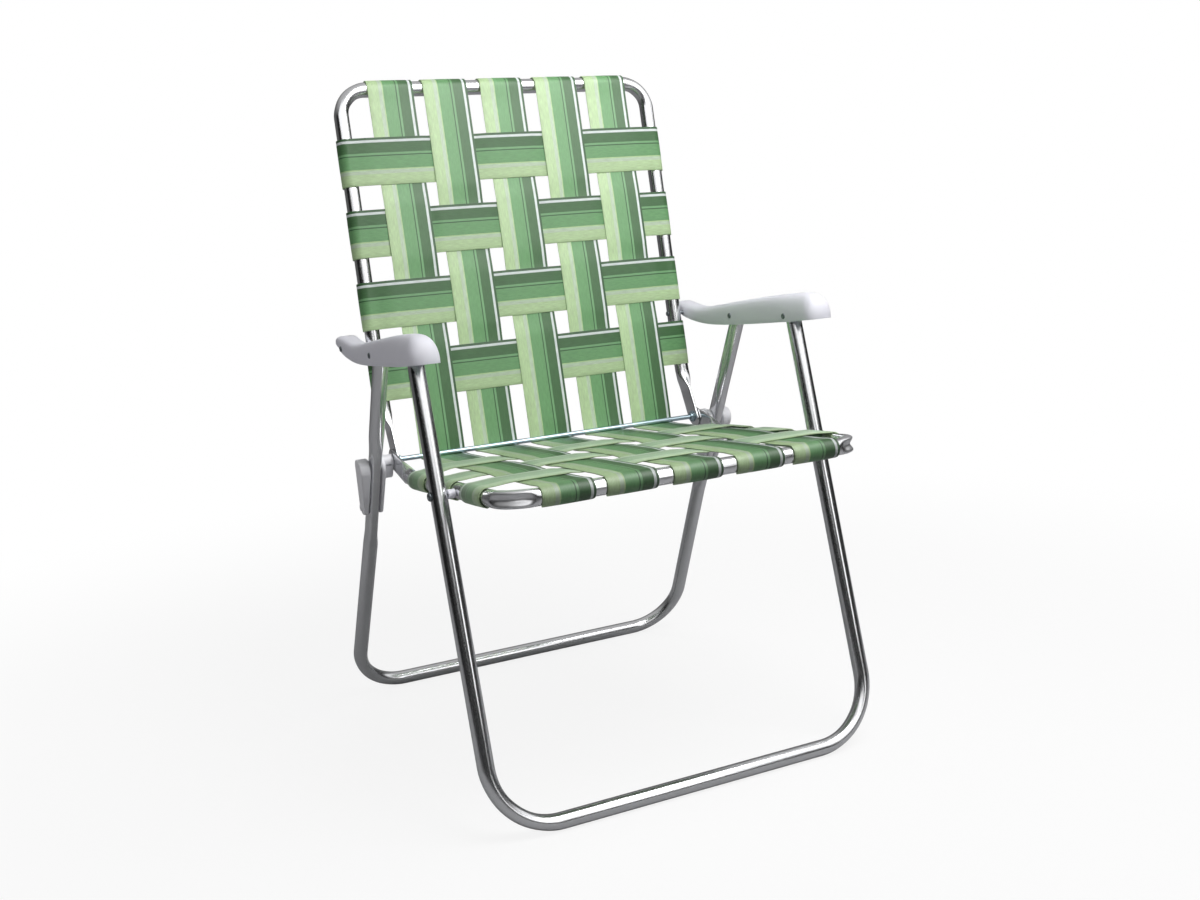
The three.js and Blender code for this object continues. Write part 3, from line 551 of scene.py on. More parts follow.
fill.inputs["From Max"].default_value = 0.8
fill.inputs["To Min"].default_value = studio["fillLow"]
fill.inputs["To Max"].default_value = studio["fillHigh"]
links.new(skyParts.outputs[2], fill.inputs["Value"])
extra = mathNode(worldTree, "SUBTRACT", rise.outputs["Result"], fill.outputs["Result"])
unseen = mathNode(worldTree, "MULTIPLY_ADD", rays.outputs["Is Glossy Ray"], extra, fill.outputs["Result"])
lightLevel = mathNode(worldTree, "MULTIPLY_ADD", seen, mathNode(worldTree, "SUBTRACT", 1.0, unseen), unseen)
links.new(lightLevel, backdrop.inputs["Strength"])
backdrop.inputs["Color"].default_value = (1, 1, 1, 1)
print("studio set")

tubing = {"sides": 36, "bendSteps": 20, "wall": 0.0012, "step": 0.012}


def extrudeBy(offset):
    bpy.ops.mesh.extrude_region_move(TRANSFORM_OT_translate={"value": tuple(offset)})


def bentTube(frameShape):
    origin, direction = frameShape["origin"], frameShape["direction"]
    half, bend, length = frameShape["half"], frameShape["bend"], frameShape["length"]
    marks = list(frameShape["marks"]) + [length - bend]
    start = origin - acrossX * half + direction * marks[0]
    deselectAll()
    bpy.ops.mesh.primitive_circle_add(
        vertices=tubing["sides"], radius=layout["tubeRadius"], fill_type=frameShape["cap"], location=start,
        rotation=direction.to_track_quat("Z", "Y").to_euler(),
    )
    tube = bpy.context.object
    bpy.ops.object.transform_apply(location=True, rotation=True, scale=True)
    bpy.ops.object.mode_set(mode="EDIT")
    bpy.ops.mesh.select_all(action="SELECT")
    for near, far in zip(marks, marks[1:]):
        extrudeBy(direction * (far - near))
    elbow = origin + direction * (length - bend)
    turnAxis = direction.cross(acrossX)
    bpy.ops.mesh.spin(steps=tubing["bendSteps"], angle=-math.pi / 2, center=elbow + acrossX * (bend - half), axis=turnAxis)
    run = 2 * (half - bend)
    crossSteps = max(2, round(run / tubing["step"]))
    for _ in range(crossSteps):
        extrudeBy(acrossX * (run / crossSteps))
    bpy.ops.mesh.spin(steps=tubing["bendSteps"], angle=-math.pi / 2, center=elbow + acrossX * (half - bend), axis=turnAxis)
    for near, far in reversed(list(zip(marks, marks[1:]))):
        extrudeBy(direction * (near - far))
    if frameShape["cap"] != "NOTHING":
        bpy.ops.mesh.edge_face_add()
    bpy.ops.mesh.select_all(action="SELECT")
    bpy.ops.mesh.normals_make_consistent(inside=False)
    bpy.ops.object.mode_set(mode="OBJECT")
    return tube


def runMarks(start, end, extra=()):
    count = max(1, round((end - start) / tubing["step"]))
    marks = [mix(start, end, index / count) for index in range(count)]
    return sorted(set([round(mark, 6) for mark in marks] + [round(mark, 6) for mark in extra]))


def tubeParts(tube, frameShape):
    points = readPoints(tube)
    origin = np.array(frameShape["origin"])
    direction = np.array(frameShape["direction"])
    normal = np.array(frameShape["normal"])
    offset = points - origin
    return points, offset @ direction, offset @ normal, points[:, 0].copy(), direction, normal, origin


def markAlongTube(tube, frameShape):
    _, reach, lift, across, direction, normal, origin = tubeParts(tube, frameShape)
    half, bend, length = frameShape["half"], frameShape["bend"], frameShape["length"]
    sign = np.sign(across)
    cornerReach, cornerAcross = length - bend, half - bend
    inBend = (reach > cornerReach) & (np.abs(across) > cornerAcross)
    onLeg = (reach <= cornerReach)
    turnShare = np.arctan2(np.maximum(reach - cornerReach, 0), np.maximum(np.abs(across) - cornerAcross, 1e-9))
    outward = np.where(inBend, np.hypot(reach - cornerReach, np.abs(across) - cornerAcross) - bend, np.where(onLeg, np.abs(across) - half, reach - length))
    run = np.where(onLeg, reach, cornerReach + bend * turnShare)
    run = np.where(~onLeg & ~inBend, cornerReach + bend * math.pi / 2 + cornerAcross - np.abs(across), run)
    place = np.stack([outward, lift, run * 1.0 + (sign > 0) * 0.37], axis=1)
    attribute = tube.data.attributes.new("alongTube", "FLOAT_VECTOR", "POINT")
    attribute.data.foreach_set("vector", place.astype(np.float32).reshape(-1))
    return outward, lift, run, inBend, turnShare


def shapeBends(tube, frameShape):
    points, reach, lift, across, direction, normal, origin = tubeParts(tube, frameShape)
    half, bend, length = frameShape["half"], frameShape["bend"], frameShape["length"]
    radius = layout["tubeRadius"]
    cornerReach, cornerAcross = length - bend, half - bend
    along_, side_ = reach - cornerReach, np.abs(across) - cornerAcross
    inBend = (along_ > 0) & (side_ > 0)
    angle = np.arctan2(along_, side_)
    outward = np.hypot(along_, side_) - bend
    weight = smooth(np.sin(2 * angle) * 1.25) * inBend
    cosine, sine = outward / radius, lift / radius
    newOutward = outward * (1 - frameShape["squash"] * weight)
    newLift = lift * (1 + frameShape["swell"] * weight)
    inner = np.clip(-cosine, 0, 1)
    ripple = np.cos(angle * frameShape["ripples"] * 4) * inner ** 3 * frameShape["rippleDepth"]
    newOutward += ripple * weight
    if frameShape["dent"]:
        dent = frameShape["dent"]
        outer = np.clip(cosine, 0, 1)
        newOutward -= weight * dent["depth"] * np.exp(-(sine / dent["spread"]) ** 2) * smooth(outer * 1.4)
        newOutward += weight * dent["lip"] * np.exp(-((np.abs(sine) - dent["lipPlace"]) / 0.2) ** 2) * smooth(outer * 2)
    newReach = cornerReach + (bend + newOutward) * np.sin(angle)
    newAcross = (cornerAcross + (bend + newOutward) * np.cos(angle)) * np.sign(across)
    moved = origin + np.outer(newReach, direction) + np.outer(newLift, normal) + np.outer(newAcross, np.array(acrossX))
    writePoints(tube, np.where(inBend[:, None], moved, points))
    satin = weight * frameShape["satin"]
    attribute = tube.data.attributes.new("satin", "FLOAT", "POINT")
    attribute.data.foreach_set("value", satin.astype(np.float32))


def roundedSection(cosine, sine, halfAcross, halfUp, squareness):
    power = 2 / squareness
    return (
        np.sign(cosine) * np.abs(cosine) ** power * halfAcross,
        np.sign(sine) * np.abs(sine) ** power * halfUp,
    )


def finishTube(tube, name, body, node, hollow):
    if hollow:
        wall = tube.modifiers.new("tubeWall", "SOLIDIFY")
        wall.thickness = tubing["wall"]
        wall.offset = -1
        applyModifiers(tube)
    pick(tube)
    bpy.ops.object.shade_smooth_by_angle(angle=math.radians(50))
    return finishPiece(tube, name, body, aluminium, [node])


# Front legs: one U tube with its ends inside the armrests
frontLegShape = {
    "origin": frontPivot, "direction": -frontLegUp, "normal": frontLegRear, "half": layout["legCentre"],
    "length": frontLegLength, "bend": layout["frontLegBend"], "cap": "NOTHING",
    "marks": runMarks(-layout["legTopMargin"], frontLegLength - layout["frontLegBend"]),
    "squash": 0.1, "swell": 0.03, "ripples": 3.0, "rippleDepth": 0.00012, "dent": None, "satin": 0.3,
}
frontLegs = bentTube(frontLegShape)
markAlongTube(frontLegs, frontLegShape)
shapeBends(frontLegs, frontLegShape)
finishTube(frontLegs, "front_leg_tube", "front_legs", "front_leg_frame", True)
print("front legs bent")

# Rear legs: pressed flat where the hinge brackets straddle them, and slightly splayed below
pressing = {
    "halfAcross": 0.0065, "halfUp": 0.01075, "start": 0.108, "full": 0.142, "end": 0.038, "fade": 0.024, "squareness": 3,
}
rearLegShape = {
    "origin": rearPivot, "direction": -rearLegUp, "normal": rearLegRear, "half": layout["legCentre"] + layout["rearLegSplay"],
    "length": rearLegLength, "bend": layout["rearLegBend"], "cap": "NOTHING",
    "marks": runMarks(
        -layout["legTopMargin"], rearLegLength - layout["rearLegBend"],
        [mix(pressing["start"], pressing["full"], share / 8) for share in range(9)]
        + [layout["hingeReach"] + pressing["end"] + pressing["fade"] * share / 8 for share in range(9)],
    ),
    "squash": 0.1, "swell": 0.03, "ripples": 3.0, "rippleDepth": 0.00012, "dent": None, "satin": 0.3,
}
rearLegs = bentTube(rearLegShape)
markAlongTube(rearLegs, rearLegShape)
shapeBends(rearLegs, rearLegShape)
points, reach, lift, across, direction, normal, origin = tubeParts(rearLegs, rearLegShape)
half = rearLegShape["half"]
onLeg = reach < rearLegShape["length"] - rearLegShape["bend"] + 1e-5
press = smooth((reach - pressing["start"]) / (pressing["full"] - pressing["start"]))
fadeStart = layout["hingeReach"] + pressing["end"]
press = np.minimum(press, smooth((fadeStart + pressing["fade"] - reach) / pressing["fade"]))
cosine = (np.abs(across) - half) / layout["tubeRadius"]
sine = lift / layout["tubeRadius"]
flatAcross, flatUp = roundedSection(
    cosine, sine, mix(layout["tubeRadius"], pressing["halfAcross"], press),
    mix(layout["tubeRadius"], pressing["halfUp"], press), mix(2, pressing["squareness"], press),
)
straightStart = fadeStart + pressing["fade"]
splay = np.clip((reach - straightStart) / (rearLegShape["length"] - rearLegShape["bend"] - straightStart), 0, 1)
legMiddle = layout["legCentre"] + layout["rearLegSplay"] * splay
newAcross = np.where(onLeg, np.sign(across) * (legMiddle + flatAcross), across)
newLift = np.where(onLeg, flatUp, lift)
writePoints(rearLegs, np.array(origin) + np.outer(reach, direction) + np.outer(newLift, normal) + np.outer(newAcross, np.array(acrossX)))
finishTube(rearLegs, "rear_leg_tube", "rear_legs", "rear_leg_frame", True)
print("rear legs bent")

# Seat and back frames: U tubes whose ends are flattened to straps and swung in to the rod
strap = {
    "thickness": 0.003, "half": 0.0125, "flatTo": 0.036, "roundFrom": 0.058, "bend": 0.060, "shift": 0.00165,
    "tipShares": [0.999, 0.97, 0.9, 0.8, 0.65, 0.5, 0.25, 0],
}


def strapFrame(frameShape, outward, towardRod):
    frameShape["marks"] = runMarks(
        0.004, frameShape["length"] - frameShape["bend"],
        [-strap["half"] * share for share in strap["tipShares"]]
        + [mix(strap["flatTo"] - 0.004, strap["roundFrom"] + 0.004, share / 14) for share in range(15)],
    )
    tube = bentTube(frameShape)
    markAlongTube(tube, frameShape)
    shapeBends(tube, frameShape)
    points, reach, lift, across, direction, normal, origin = tubeParts(tube, frameShape)
    radius = layout["tubeRadius"]
    onStrap = reach < strap["bend"] + 3 * radius
    roundness = smooth((reach - strap["flatTo"]) / (strap["roundFrom"] - strap["flatTo"]))
    cosine = (np.abs(across) - frameShape["half"]) / radius
    sine = lift / radius
    tip = np.sqrt(np.clip(1 - np.clip(-reach / strap["half"], 0, 1) ** 2, 0.0004, 1))
    flatAcross, flatUp = roundedSection(
        cosine, sine, mix(strap["thickness"] / 2, radius, roundness),
        mix(strap["half"] * tip, radius, roundness), mix(6, 2, roundness),
    )
    swing = layout["railSetback"] * np.clip(1 - reach / strap["bend"], 0, None)
    ease = 0.5 * (np.sqrt((reach - strap["bend"]) ** 2 + 0.012 ** 2) - (reach - strap["bend"]))
    swing = layout["railSetback"] * ease / strap["bend"]
    newAcross = np.where(onStrap, np.sign(across) * (frameShape["half"] + outward * (1 - roundness) + flatAcross), across)
    newLift = np.where(onStrap, flatUp + towardRod * swing, lift)
    writePoints(tube, np.array(origin) + np.outer(reach, direction) + np.outer(newLift, normal) + np.outer(newAcross, np.array(acrossX)))
    return tube


seatShape = {
    "origin": seatFoot, "direction": seatForward, "normal": seatUp, "half": layout["railCentre"],
    "length": layout["seatLength"], "bend": layout["railBend"], "cap": "NGON",
    "squash": 0.04, "swell": 0.04, "ripples": 3, "rippleDepth": 0.0001,
    "dent": {"depth": 0.0058, "spread": 0.5, "lip": 0.0010, "lipPlace": 0.8}, "satin": 1.0,
}
seatTube = strapFrame(seatShape, strap["shift"], 1)
finishTube(seatTube, "seat_tube", "seat", "seat_frame", False)

backShape = {
    "origin": backFoot, "direction": backUp, "normal": backFront, "half": layout["railCentre"],
    "length": layout["backLength"], "bend": layout["railBend"], "cap": "NGON",
    "squash": 0.1, "swell": 0.03, "ripples": 3, "rippleDepth": 0.0001, "dent": None, "satin": 0.2,
}
backTube = strapFrame(backShape, -strap["shift"], 1)
finishTube(backTube, "back_tube", "back", "back_frame", False)
print("seat and back frames bent")

webbing = {
    "width": 0.05715, "thickness": 0.001, "centres": [-0.1444, -0.0747, 0.0, 0.0747, 0.1444],
    "backRows": [0.3575, 0.2715, 0.1855, 0.0995], "seatRows": [0.1055, 0.194, 0.2825],
    "wrapTurn": 250, "railClear": 0.0003, "rodClear": 0.0003, "step": 0.004, "cells": 10,
    "lift": 0.00068, "crown": 0.00025, "foldFrom": 150, "tipWidth": 0.3,
}
webRadius = layout["tubeRadius"] / math.cos(math.pi / 16) + webbing["railClear"] + webbing["thickness"] / 2 + 0.00024
rodRadius = 0.003
rodWebRadius = rodRadius + webbing["rodClear"] + webbing["thickness"] / 2 + 0.00006


def planeOf(foot, direction, face, length):
    endRail = foot + direction * length
    span = rod - endRail
    lean = (webRadius + rodWebRadius) / span.length
    flowing = span.normalized()
    square = (face - flowing * face.dot(flowing)).normalized()
    normal = square * math.sqrt(1 - lean * lean) + flowing * lean
    start = endRail + normal * webRadius
    end = rod - normal * rodWebRadius
    return {
        "foot": foot, "direction": direction, "face": face, "endRail": endRail, "normal": normal,
        "near": ((end - foot).dot(direction), (end - foot).dot(face)),
        "far": ((start - foot).dot(direction), (start - foot).dot(face)),
    }


def planeHeight(plane, distance):
    share = (distance - plane["near"][0]) / (plane["far"][0] - plane["near"][0])
    return mix(plane["near"][1], plane["far"][1], share)


seatPlane = planeOf(seatFoot, seatForward, seatUp, layout["seatLength"])
backPlane = planeOf(backFoot, backUp, backFront, layout["backLength"])


def weaveHeight(place, crossings):
    halfWidth = webbing["width"] / 2
    places = sorted(crossings)
    for centre, over in places:
        if abs(place - centre) <= halfWidth:
            return over * webbing["lift"]
    before = [c for c in places if c[0] < place]
    after = [c for c in places if c[0] > place]
    if not before or not after:
        return (after[0] if after else before[-1])[1] * webbing["lift"]
    gap = after[0][0] - before[-1][0] - webbing["width"]
    share = float(smooth((place - before[-1][0] - halfWidth) / gap))
    return mix(before[-1][1], after[0][1], share) * webbing["lift"]


def makeRibbon(name, stations, flip):
    run = [0.0]
    for first, second in zip(stations, stations[1:]):
        run.append(run[-1] + (second["middle"] - first["middle"]).length)
    cells = webbing["cells"]
    deselectAll()
    bpy.ops.mesh.primitive_grid_add(x_subdivisions=cells, y_subdivisions=len(stations) - 1, size=1, calc_uvs=True)
    ribbon = bpy.context.object
    ribbon.data.uv_layers[0].name = "webbingUv"
    flat = readPoints(ribbon)
    columns = np.rint((flat[:, 0] + 0.5) * cells).astype(int)
    rows = np.rint((flat[:, 1] + 0.5) * (len(stations) - 1)).astype(int)
    points = np.empty_like(flat)
    for index, (column, row) in enumerate(zip(columns, rows)):
        station = stations[row]
        share = 2 * column / cells - 1
        narrow = station.get("narrow", 1)
        lift = webbing["crown"] * (1 - share * share) * station.get("crown", 1)
        points[index] = (
            station["middle"] + station["across"] * (share * narrow * webbing["width"] / 2 + station.get("aside", 0))
            + station["face"] * lift
        )
    writePoints(ribbon, points)
    uvs = ribbon.data.uv_layers["webbingUv"].data
    loops = np.empty(len(ribbon.data.loops), dtype=int)
    ribbon.data.loops.foreach_get("vertex_index", loops)
    narrowOf = np.array([stations[row].get("narrow", 1) for row in rows])
    acrossShare = 0.5 + (columns / cells - 0.5) * narrowOf
    acrossShare = 1 - acrossShare if flip else acrossShare
    values = np.stack([acrossShare[loops], np.array(run)[rows][loops]], axis=1)
    uvs.foreach_set("uv", values.reshape(-1))
    return ribbon, run[-1]


def finishRibbon(ribbon, name, material):
    pick(ribbon)
    thick = ribbon.modifiers.new("webThickness", "SOLIDIFY")
    thick.thickness = webbing["thickness"]
    thick.offset = 0
    soft = ribbon.modifiers.new("softEdge", "BEVEL")
    soft.width = 0.00028
    soft.segments = 2
    soft.limit_method = "ANGLE"
    soft.angle_limit = math.radians(60)
    applyModifiers(ribbon)
    bpy.ops.object.shade_smooth_by_angle(angle=math.radians(60))
    ribbon.name = name
    ribbon.data.name = name
    ribbon.data.materials.clear()
    ribbon.data.materials.append(material)


def wrapStations(centre, faceOf, acrossOf, radius, aside):
    stations = []
    turn = webbing["wrapTurn"]
    count = 30
    for index in range(count, -1, -1):
        degrees = turn * index / count
        folded = float(smooth((degrees - webbing["foldFrom"]) / (turn - webbing["foldFrom"])))
        face = faceOf(math.radians(degrees))
        stations.append({
            "middle": centre + face * (radius + folded * 0.0012), "face": face, "across": acrossOf,
            "narrow": mix(1, webbing["tipWidth"], folded), "crown": 1 - folded, "aside": aside * folded,
        })
    return stations


def rotatedFace(face, axis, angle):
    return Matrix.Rotation(angle, 3, axis) @ face


def rowsOver(rows, column):
    columnSign = -1 if column % 2 else 1
    return sorted((centre, (-1 if row % 2 else 1) * -columnSign) for row, centre in enumerate(rows))


def steps(start, end):
    count = max(1, round(abs(end - start) / webbing["step"]))
    return [mix(start, end, index / count) for index in range(1, count + 1)]


def halfRibbon(plane, centreX, crossings, turnSign, aside):
    faceOf = lambda angle: rotatedFace(plane["normal"], acrossX, turnSign * angle)
    centre = plane["endRail"] + acrossX * centreX
    stations = wrapStations(centre, faceOf, acrossX, webRadius, aside)
    distances = steps(plane["far"][0], plane["near"][0])
    for index, distance in enumerate(distances):
        ends = min(1, (plane["far"][0] - distance) / 0.02, (distance - plane["near"][0]) / 0.02)
        height = planeHeight(plane, distance) + weaveHeight(distance, crossings) * float(smooth(ends))
        middle = plane["foot"] + plane["direction"] * distance + plane["face"] * height + acrossX * centreX
        stations.append({"middle": middle, "face": plane["normal"], "across": acrossX, "crown": 1})
    return stations


longWebs = []
for column, centreX in enumerate(webbing["centres"]):
    wander = [0.0012, -0.0016, 0.0007, -0.001, 0.0014][column]
    backHalf = halfRibbon(backPlane, centreX, rowsOver(webbing["backRows"], column), -1, wander)
    seatHalf = halfRibbon(seatPlane, centreX, rowsOver(webbing["seatRows"], column), 1, -wander)
    sweep = backPlane["normal"].angle(seatPlane["normal"])
    around = []
    for index in range(1, 10):
        face = rotatedFace(backPlane["normal"], acrossX, -sweep * index / 10)
        around.append({
            "middle": rod - face * rodWebRadius + acrossX * centreX, "face": face, "across": acrossX, "crown": 0.2,
        })
    stations = backHalf + around + list(reversed(seatHalf))
    ribbon, length = makeRibbon("long", stations, True)
    name = f"long_web_{column + 1}"
    finishRibbon(ribbon, name, longWebbing)
    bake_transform(ribbon)
    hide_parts(f"seat_web_{column + 1}", f"back_web_{column + 1}")
    longWebs.append(ribbon)
print("long webs laid, length", round(length, 3))


def crossRibbon(plane, distance, firstOver, upward, aside):
    crossings = [(centre, -firstOver if index % 2 else firstOver) for index, centre in enumerate(webbing["centres"])]
    foot = plane["foot"] + plane["direction"] * distance
    stations = []
    ends = {}
    for sign in (-1, 1):
        faceOf = lambda angle, sign=sign: plane["face"] * math.cos(angle) + acrossX * (sign * math.sin(angle))
        ends[sign] = wrapStations(foot + acrossX * (sign * layout["railCentre"]), faceOf, plane["direction"], webRadius, aside)
    stations += ends[-1]
    tangentHeight = webRadius
    for x in steps(-layout["railCentre"], layout["railCentre"])[:-1]:
        ease = float(smooth((layout["railCentre"] - abs(x)) / 0.03))
        height = mix(tangentHeight, planeHeight(plane, distance) + weaveHeight(x, crossings), ease)
        stations.append({"middle": foot + plane["face"] * height + acrossX * x, "face": plane["face"], "across": plane["direction"]})
    stations += list(reversed(ends[1]))
    return makeRibbon("cross", stations, upward)


def addCrossWebs(plane, rows, bodyName, material):
    for row, distance in enumerate(rows):
        ribbon, length = crossRibbon(plane, distance, -1 if row % 2 else 1, bodyName == "back", -0.0016)
        name = f"{bodyName}_cross_webbing_{row + 1}"
        finishRibbon(ribbon, name, material)
        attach(ribbon, bodyName)
        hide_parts(f"{bodyName}_cross_web_{row + 1}")


addCrossWebs(backPlane, webbing["backRows"], "back", backWebbing)
addCrossWebs(seatPlane, webbing["seatRows"], "seat", seatWebbing)
print("cross webs woven")

armShape = {
    "half": 0.0135, "wall": 0.0024, "depth": 0.034, "rings": 170, "around": 44,
    # reach along the rivets' span, then top, bottom, half width as shares, and the section's squareness
    "rows": [
        (-0.11, 0.288, 0.229, 0.8, 3.6), (-0.103, 0.362, 0.192, 0.93, 3.6), (-0.085, 0.409, 0.145, 1, 3.6),
        (-0.048, 0.403, 0.039, 1, 3.6), (0.002, 0.349, -0.13, 1, 3.6), (0.067, 0.276, -0.245, 1, 3.6),
        (0.133, 0.222, -0.324, 1, 3.6), (0.22, 0.224, -0.39, 1, 3.6), (0.308, 0.285, -0.418, 1, 3.6),
        (0.391, 0.347, -0.417, 1, 3.6), (0.641, 0.532, -0.349, 1.03, 3.4), (0.87, 0.686, -0.26, 1.17, 3.0),
        (1.0, 0.747, -0.205, 1.28, 2.7),
    ],
    # the blunt nose: start and end reach, top and bottom there, width, squareness, bluntness of plan and of top
    "nose": {"from": 1.085, "to": 1.224, "top": 0.775, "low": (-0.165, -0.09), "half": 1.34, "square": 2.4, "plan": 6, "crown": 4},
}


def armRows():
    nose = armShape["nose"]
    rows = list(armShape["rows"])
    for share in (0, 0.2, 0.4, 0.55, 0.68, 0.78, 0.86, 0.92, 0.955, 0.98, 0.993, 0.9985, 0.99995):
        low = mix(*nose["low"], share)
        rows.append((
            mix(nose["from"], nose["to"], share), low + (nose["top"] - low) * (1 - share ** nose["crown"]) ** 0.5, low,
            nose["half"] * (1 - share ** nose["plan"]) ** 0.4545, nose["square"],
        ))
    return rows


def curveThrough(rows, count):
    knots = np.array(rows)
    gaps = np.sqrt((np.diff(knots[:, 0]) * armSpan) ** 2 + (np.diff(knots[:, 1]) * armShape["depth"]) ** 2
                   + (np.diff(knots[:, 2]) * armShape["depth"]) ** 2 + (np.diff(knots[:, 3]) * armShape["half"]) ** 2)
    run = np.concatenate([[0], np.cumsum(gaps)])
    slopes = np.gradient(knots, run, axis=0)
    places = np.linspace(0, run[-1], count)
    index = np.clip(np.searchsorted(run, places, side="right") - 1, 0, len(run) - 2)
    width = run[index + 1] - run[index]
    t = ((places - run[index]) / width)[:, None]
    w = width[:, None]
    return ((2 * t ** 3 - 3 * t ** 2 + 1) * knots[index] + (t ** 3 - 2 * t ** 2 + t) * w * slopes[index]
            + (-2 * t ** 3 + 3 * t ** 2) * knots[index + 1] + (t ** 3 - t ** 2) * w * slopes[index + 1])


def armSection(half, top, bottom, squareness):
    points = []
    for index in range(armShape["around"] + 1):
        angle = math.pi * index / armShape["around"]
        across, up = roundedSection(np.cos(angle), np.sin(angle), half, top - bottom, squareness)
        points.append((-float(across), bottom + float(up)))
    return points


def makeArm():
    rows = curveThrough(armRows(), armShape["rings"])
    sections = [
        armSection(max(0.0004, row[3] * armShape["half"]), row[1] * armShape["depth"], row[2] * armShape["depth"], row[4]) for row in rows
    ]
    widest = armShape["nose"]["half"]
    around = len(sections[0])
    deselectAll()
    bpy.ops.mesh.primitive_grid_add(x_subdivisions=around - 1, y_subdivisions=armShape["rings"] - 1, size=1)
    arm = bpy.context.object
    flat = readPoints(arm)
    columns = np.rint((flat[:, 0] + 0.5) * (around - 1)).astype(int)
    rings = np.rint((flat[:, 1] + 0.5) * (armShape["rings"] - 1)).astype(int)
    points = np.empty_like(flat)
    for index, (column, ring) in enumerate(zip(columns, rings)):
        across, up = sections[ring][column]
        flare = widest if rows[ring][0] > armShape["nose"]["from"] else max(1, rows[ring][3])
        middle = backPivot + armForward * (rows[ring][0] * armSpan) + armUp * up
        points[index] = middle - acrossX * (layout["legCentre"] + (flare - 1) * armShape["half"] - across)
    writePoints(arm, points)
    bpy.ops.object.mode_set(mode="EDIT")
    bpy.ops.mesh.select_all(action="SELECT")
    bpy.ops.mesh.normals_make_consistent(inside=False)
    bpy.ops.object.mode_set(mode="OBJECT")
    return arm


arm = makeArm()
top = max(arm.data.polygons, key=lambda face: face.center.z)
if top.normal.z < 0:
    pick(arm)
    bpy.ops.object.mode_set(mode="EDIT")
    bpy.ops.mesh.select_all(action="SELECT")
    bpy.ops.mesh.flip_normals()
    bpy.ops.object.mode_set(mode="OBJECT")
shell = arm.modifiers.new("armWall", "SOLIDIFY")
shell.thickness = armShape["wall"]
shell.offset = -1
shell.use_even_offset = False
rim = arm.modifiers.new("softRim", "BEVEL")
rim.width = 0.0005
rim.segments = 2
rim.limit_method = "ANGLE"
rim.angle_limit = math.radians(50)
applyModifiers(arm)
bpy.ops.object.shade_smooth_by_angle(angle=math.radians(55))


def mirroredCopy(piece):
    deselectAll()
    other = piece.copy()
    other.data = piece.data.copy()
    bpy.context.scene.collection.objects.link(other)
    points = readPoints(other)
    points[:, 0] *= -1
    writePoints(other, points)
    pick(other)
    bpy.ops.object.mode_set(mode="EDIT")
    bpy.ops.mesh.select_all(action="SELECT")
    bpy.ops.mesh.flip_normals()
    bpy.ops.object.mode_set(mode="OBJECT")
    return other


otherArm = mirroredCopy(arm)
finishPiece(arm, "arm_left", "armrests", whitePlastic, ["armrest_left"])
finishPiece(otherArm, "arm_right", "armrests", whitePlastic, ["armrest_right"])
print("armrests moulded")

turning = {"sides": 32}


def turnedPiece(place, profile, closed=False):
    sides = turning["sides"]
    radius, reach = profile[0]
    deselectAll()
    bpy.ops.mesh.primitive_circle_add(
        vertices=sides, radius=radius, fill_type="NOTHING" if closed else "NGON", location=place + acrossX * reach,
        rotation=acrossX.to_track_quat("Z", "Y").to_euler(),
    )
    piece = bpy.context.object
    bpy.ops.object.transform_apply(location=True, rotation=True, scale=True)
    bpy.ops.object.mode_set(mode="EDIT")
    bpy.ops.mesh.select_all(action="SELECT")
    for (radius, reach), (nextRadius, nextReach) in zip(profile, profile[1:]):
        extrudeBy(acrossX * (nextReach - reach))
        scale = nextRadius / radius
        if abs(scale - 1) > 1e-6:
            bpy.ops.transform.resize(value=(1, scale, scale), center_override=place + acrossX * nextReach)
    bpy.ops.mesh.select_all(action="SELECT")
    if closed:
        bpy.ops.mesh.remove_doubles(threshold=1e-6)
    bpy.ops.mesh.normals_make_consistent(inside=False)
    bpy.ops.object.mode_set(mode="OBJECT")
    bpy.ops.object.shade_smooth_by_angle(angle=math.radians(40))
    return piece


def placePair(piece, name, body, material, nodeName):
    other = mirroredCopy(piece)
    finishPiece(piece, name + "_right", body, material, [nodeName + "_right"])
    finishPiece(other, name + "_left", body, material, [nodeName + "_left"])


# A rolled eyelet head as radius and height shares, from its hollow middle to its rim
eyeletShares = [(0.16, 0.05), (0.3, 0.1), (0.38, 0.5), (0.48, 0.92), (0.62, 1.0), (0.78, 0.86), (0.92, 0.5), (1.0, 0.12), (1.0, 0)]


def eyelet(face, direction, radius, height):
    return [(radius * wide, face + direction * height * high) for wide, high in eyeletShares]


def eyeletRivet(nodeName, place, head, height, shank, blind):
    low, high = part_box(nodeName)
    inner, outer = low.x + height, high.x - height
    hidden = layout["legCentre"] + layout["tubeRadius"] + 0.001
    end = [(shank, hidden - 0.0012), (shank * 1.5, hidden - 0.0006), (shank * 0.5, hidden)] if blind else (
        [(shank, outer)] + list(reversed(eyelet(outer, 1, head, height)))
    )
    return turnedPiece(place, eyelet(inner, -1, head, height) + [(shank, inner)] + end)


armHead = {"radius": 0.0034, "height": 0.0013, "shank": 0.0024}
legHead = {"radius": 0.0048, "height": 0.0022, "shank": 0.0024}
for nodeName, place, body, head in (
    ("front_arm_rivet", frontPivot, "armrests", armHead), ("rear_arm_rivet", rearPivot, "armrests", armHead),
    ("back_arm_rivet", backPivot, "back", armHead), ("seat_leg_rivet", seatPivot, "seat", legHead),
):
    blind = nodeName == "front_arm_rivet"
    piece = eyeletRivet(nodeName + "_right", place, head["radius"], head["height"], head["shank"], blind)
    placePair(piece, nodeName.replace("rivet", "eyelet"), body, darkSteel, nodeName)

rodShape = [(0.0024, -0.2235), (0.003, -0.2229), (0.003, 0.2229), (0.0024, 0.2235)]
rodPiece = turnedPiece(rod, rodShape)
finishPiece(rodPiece, "cross_rod_turned", "seat", zinc, ["cross_rod"])

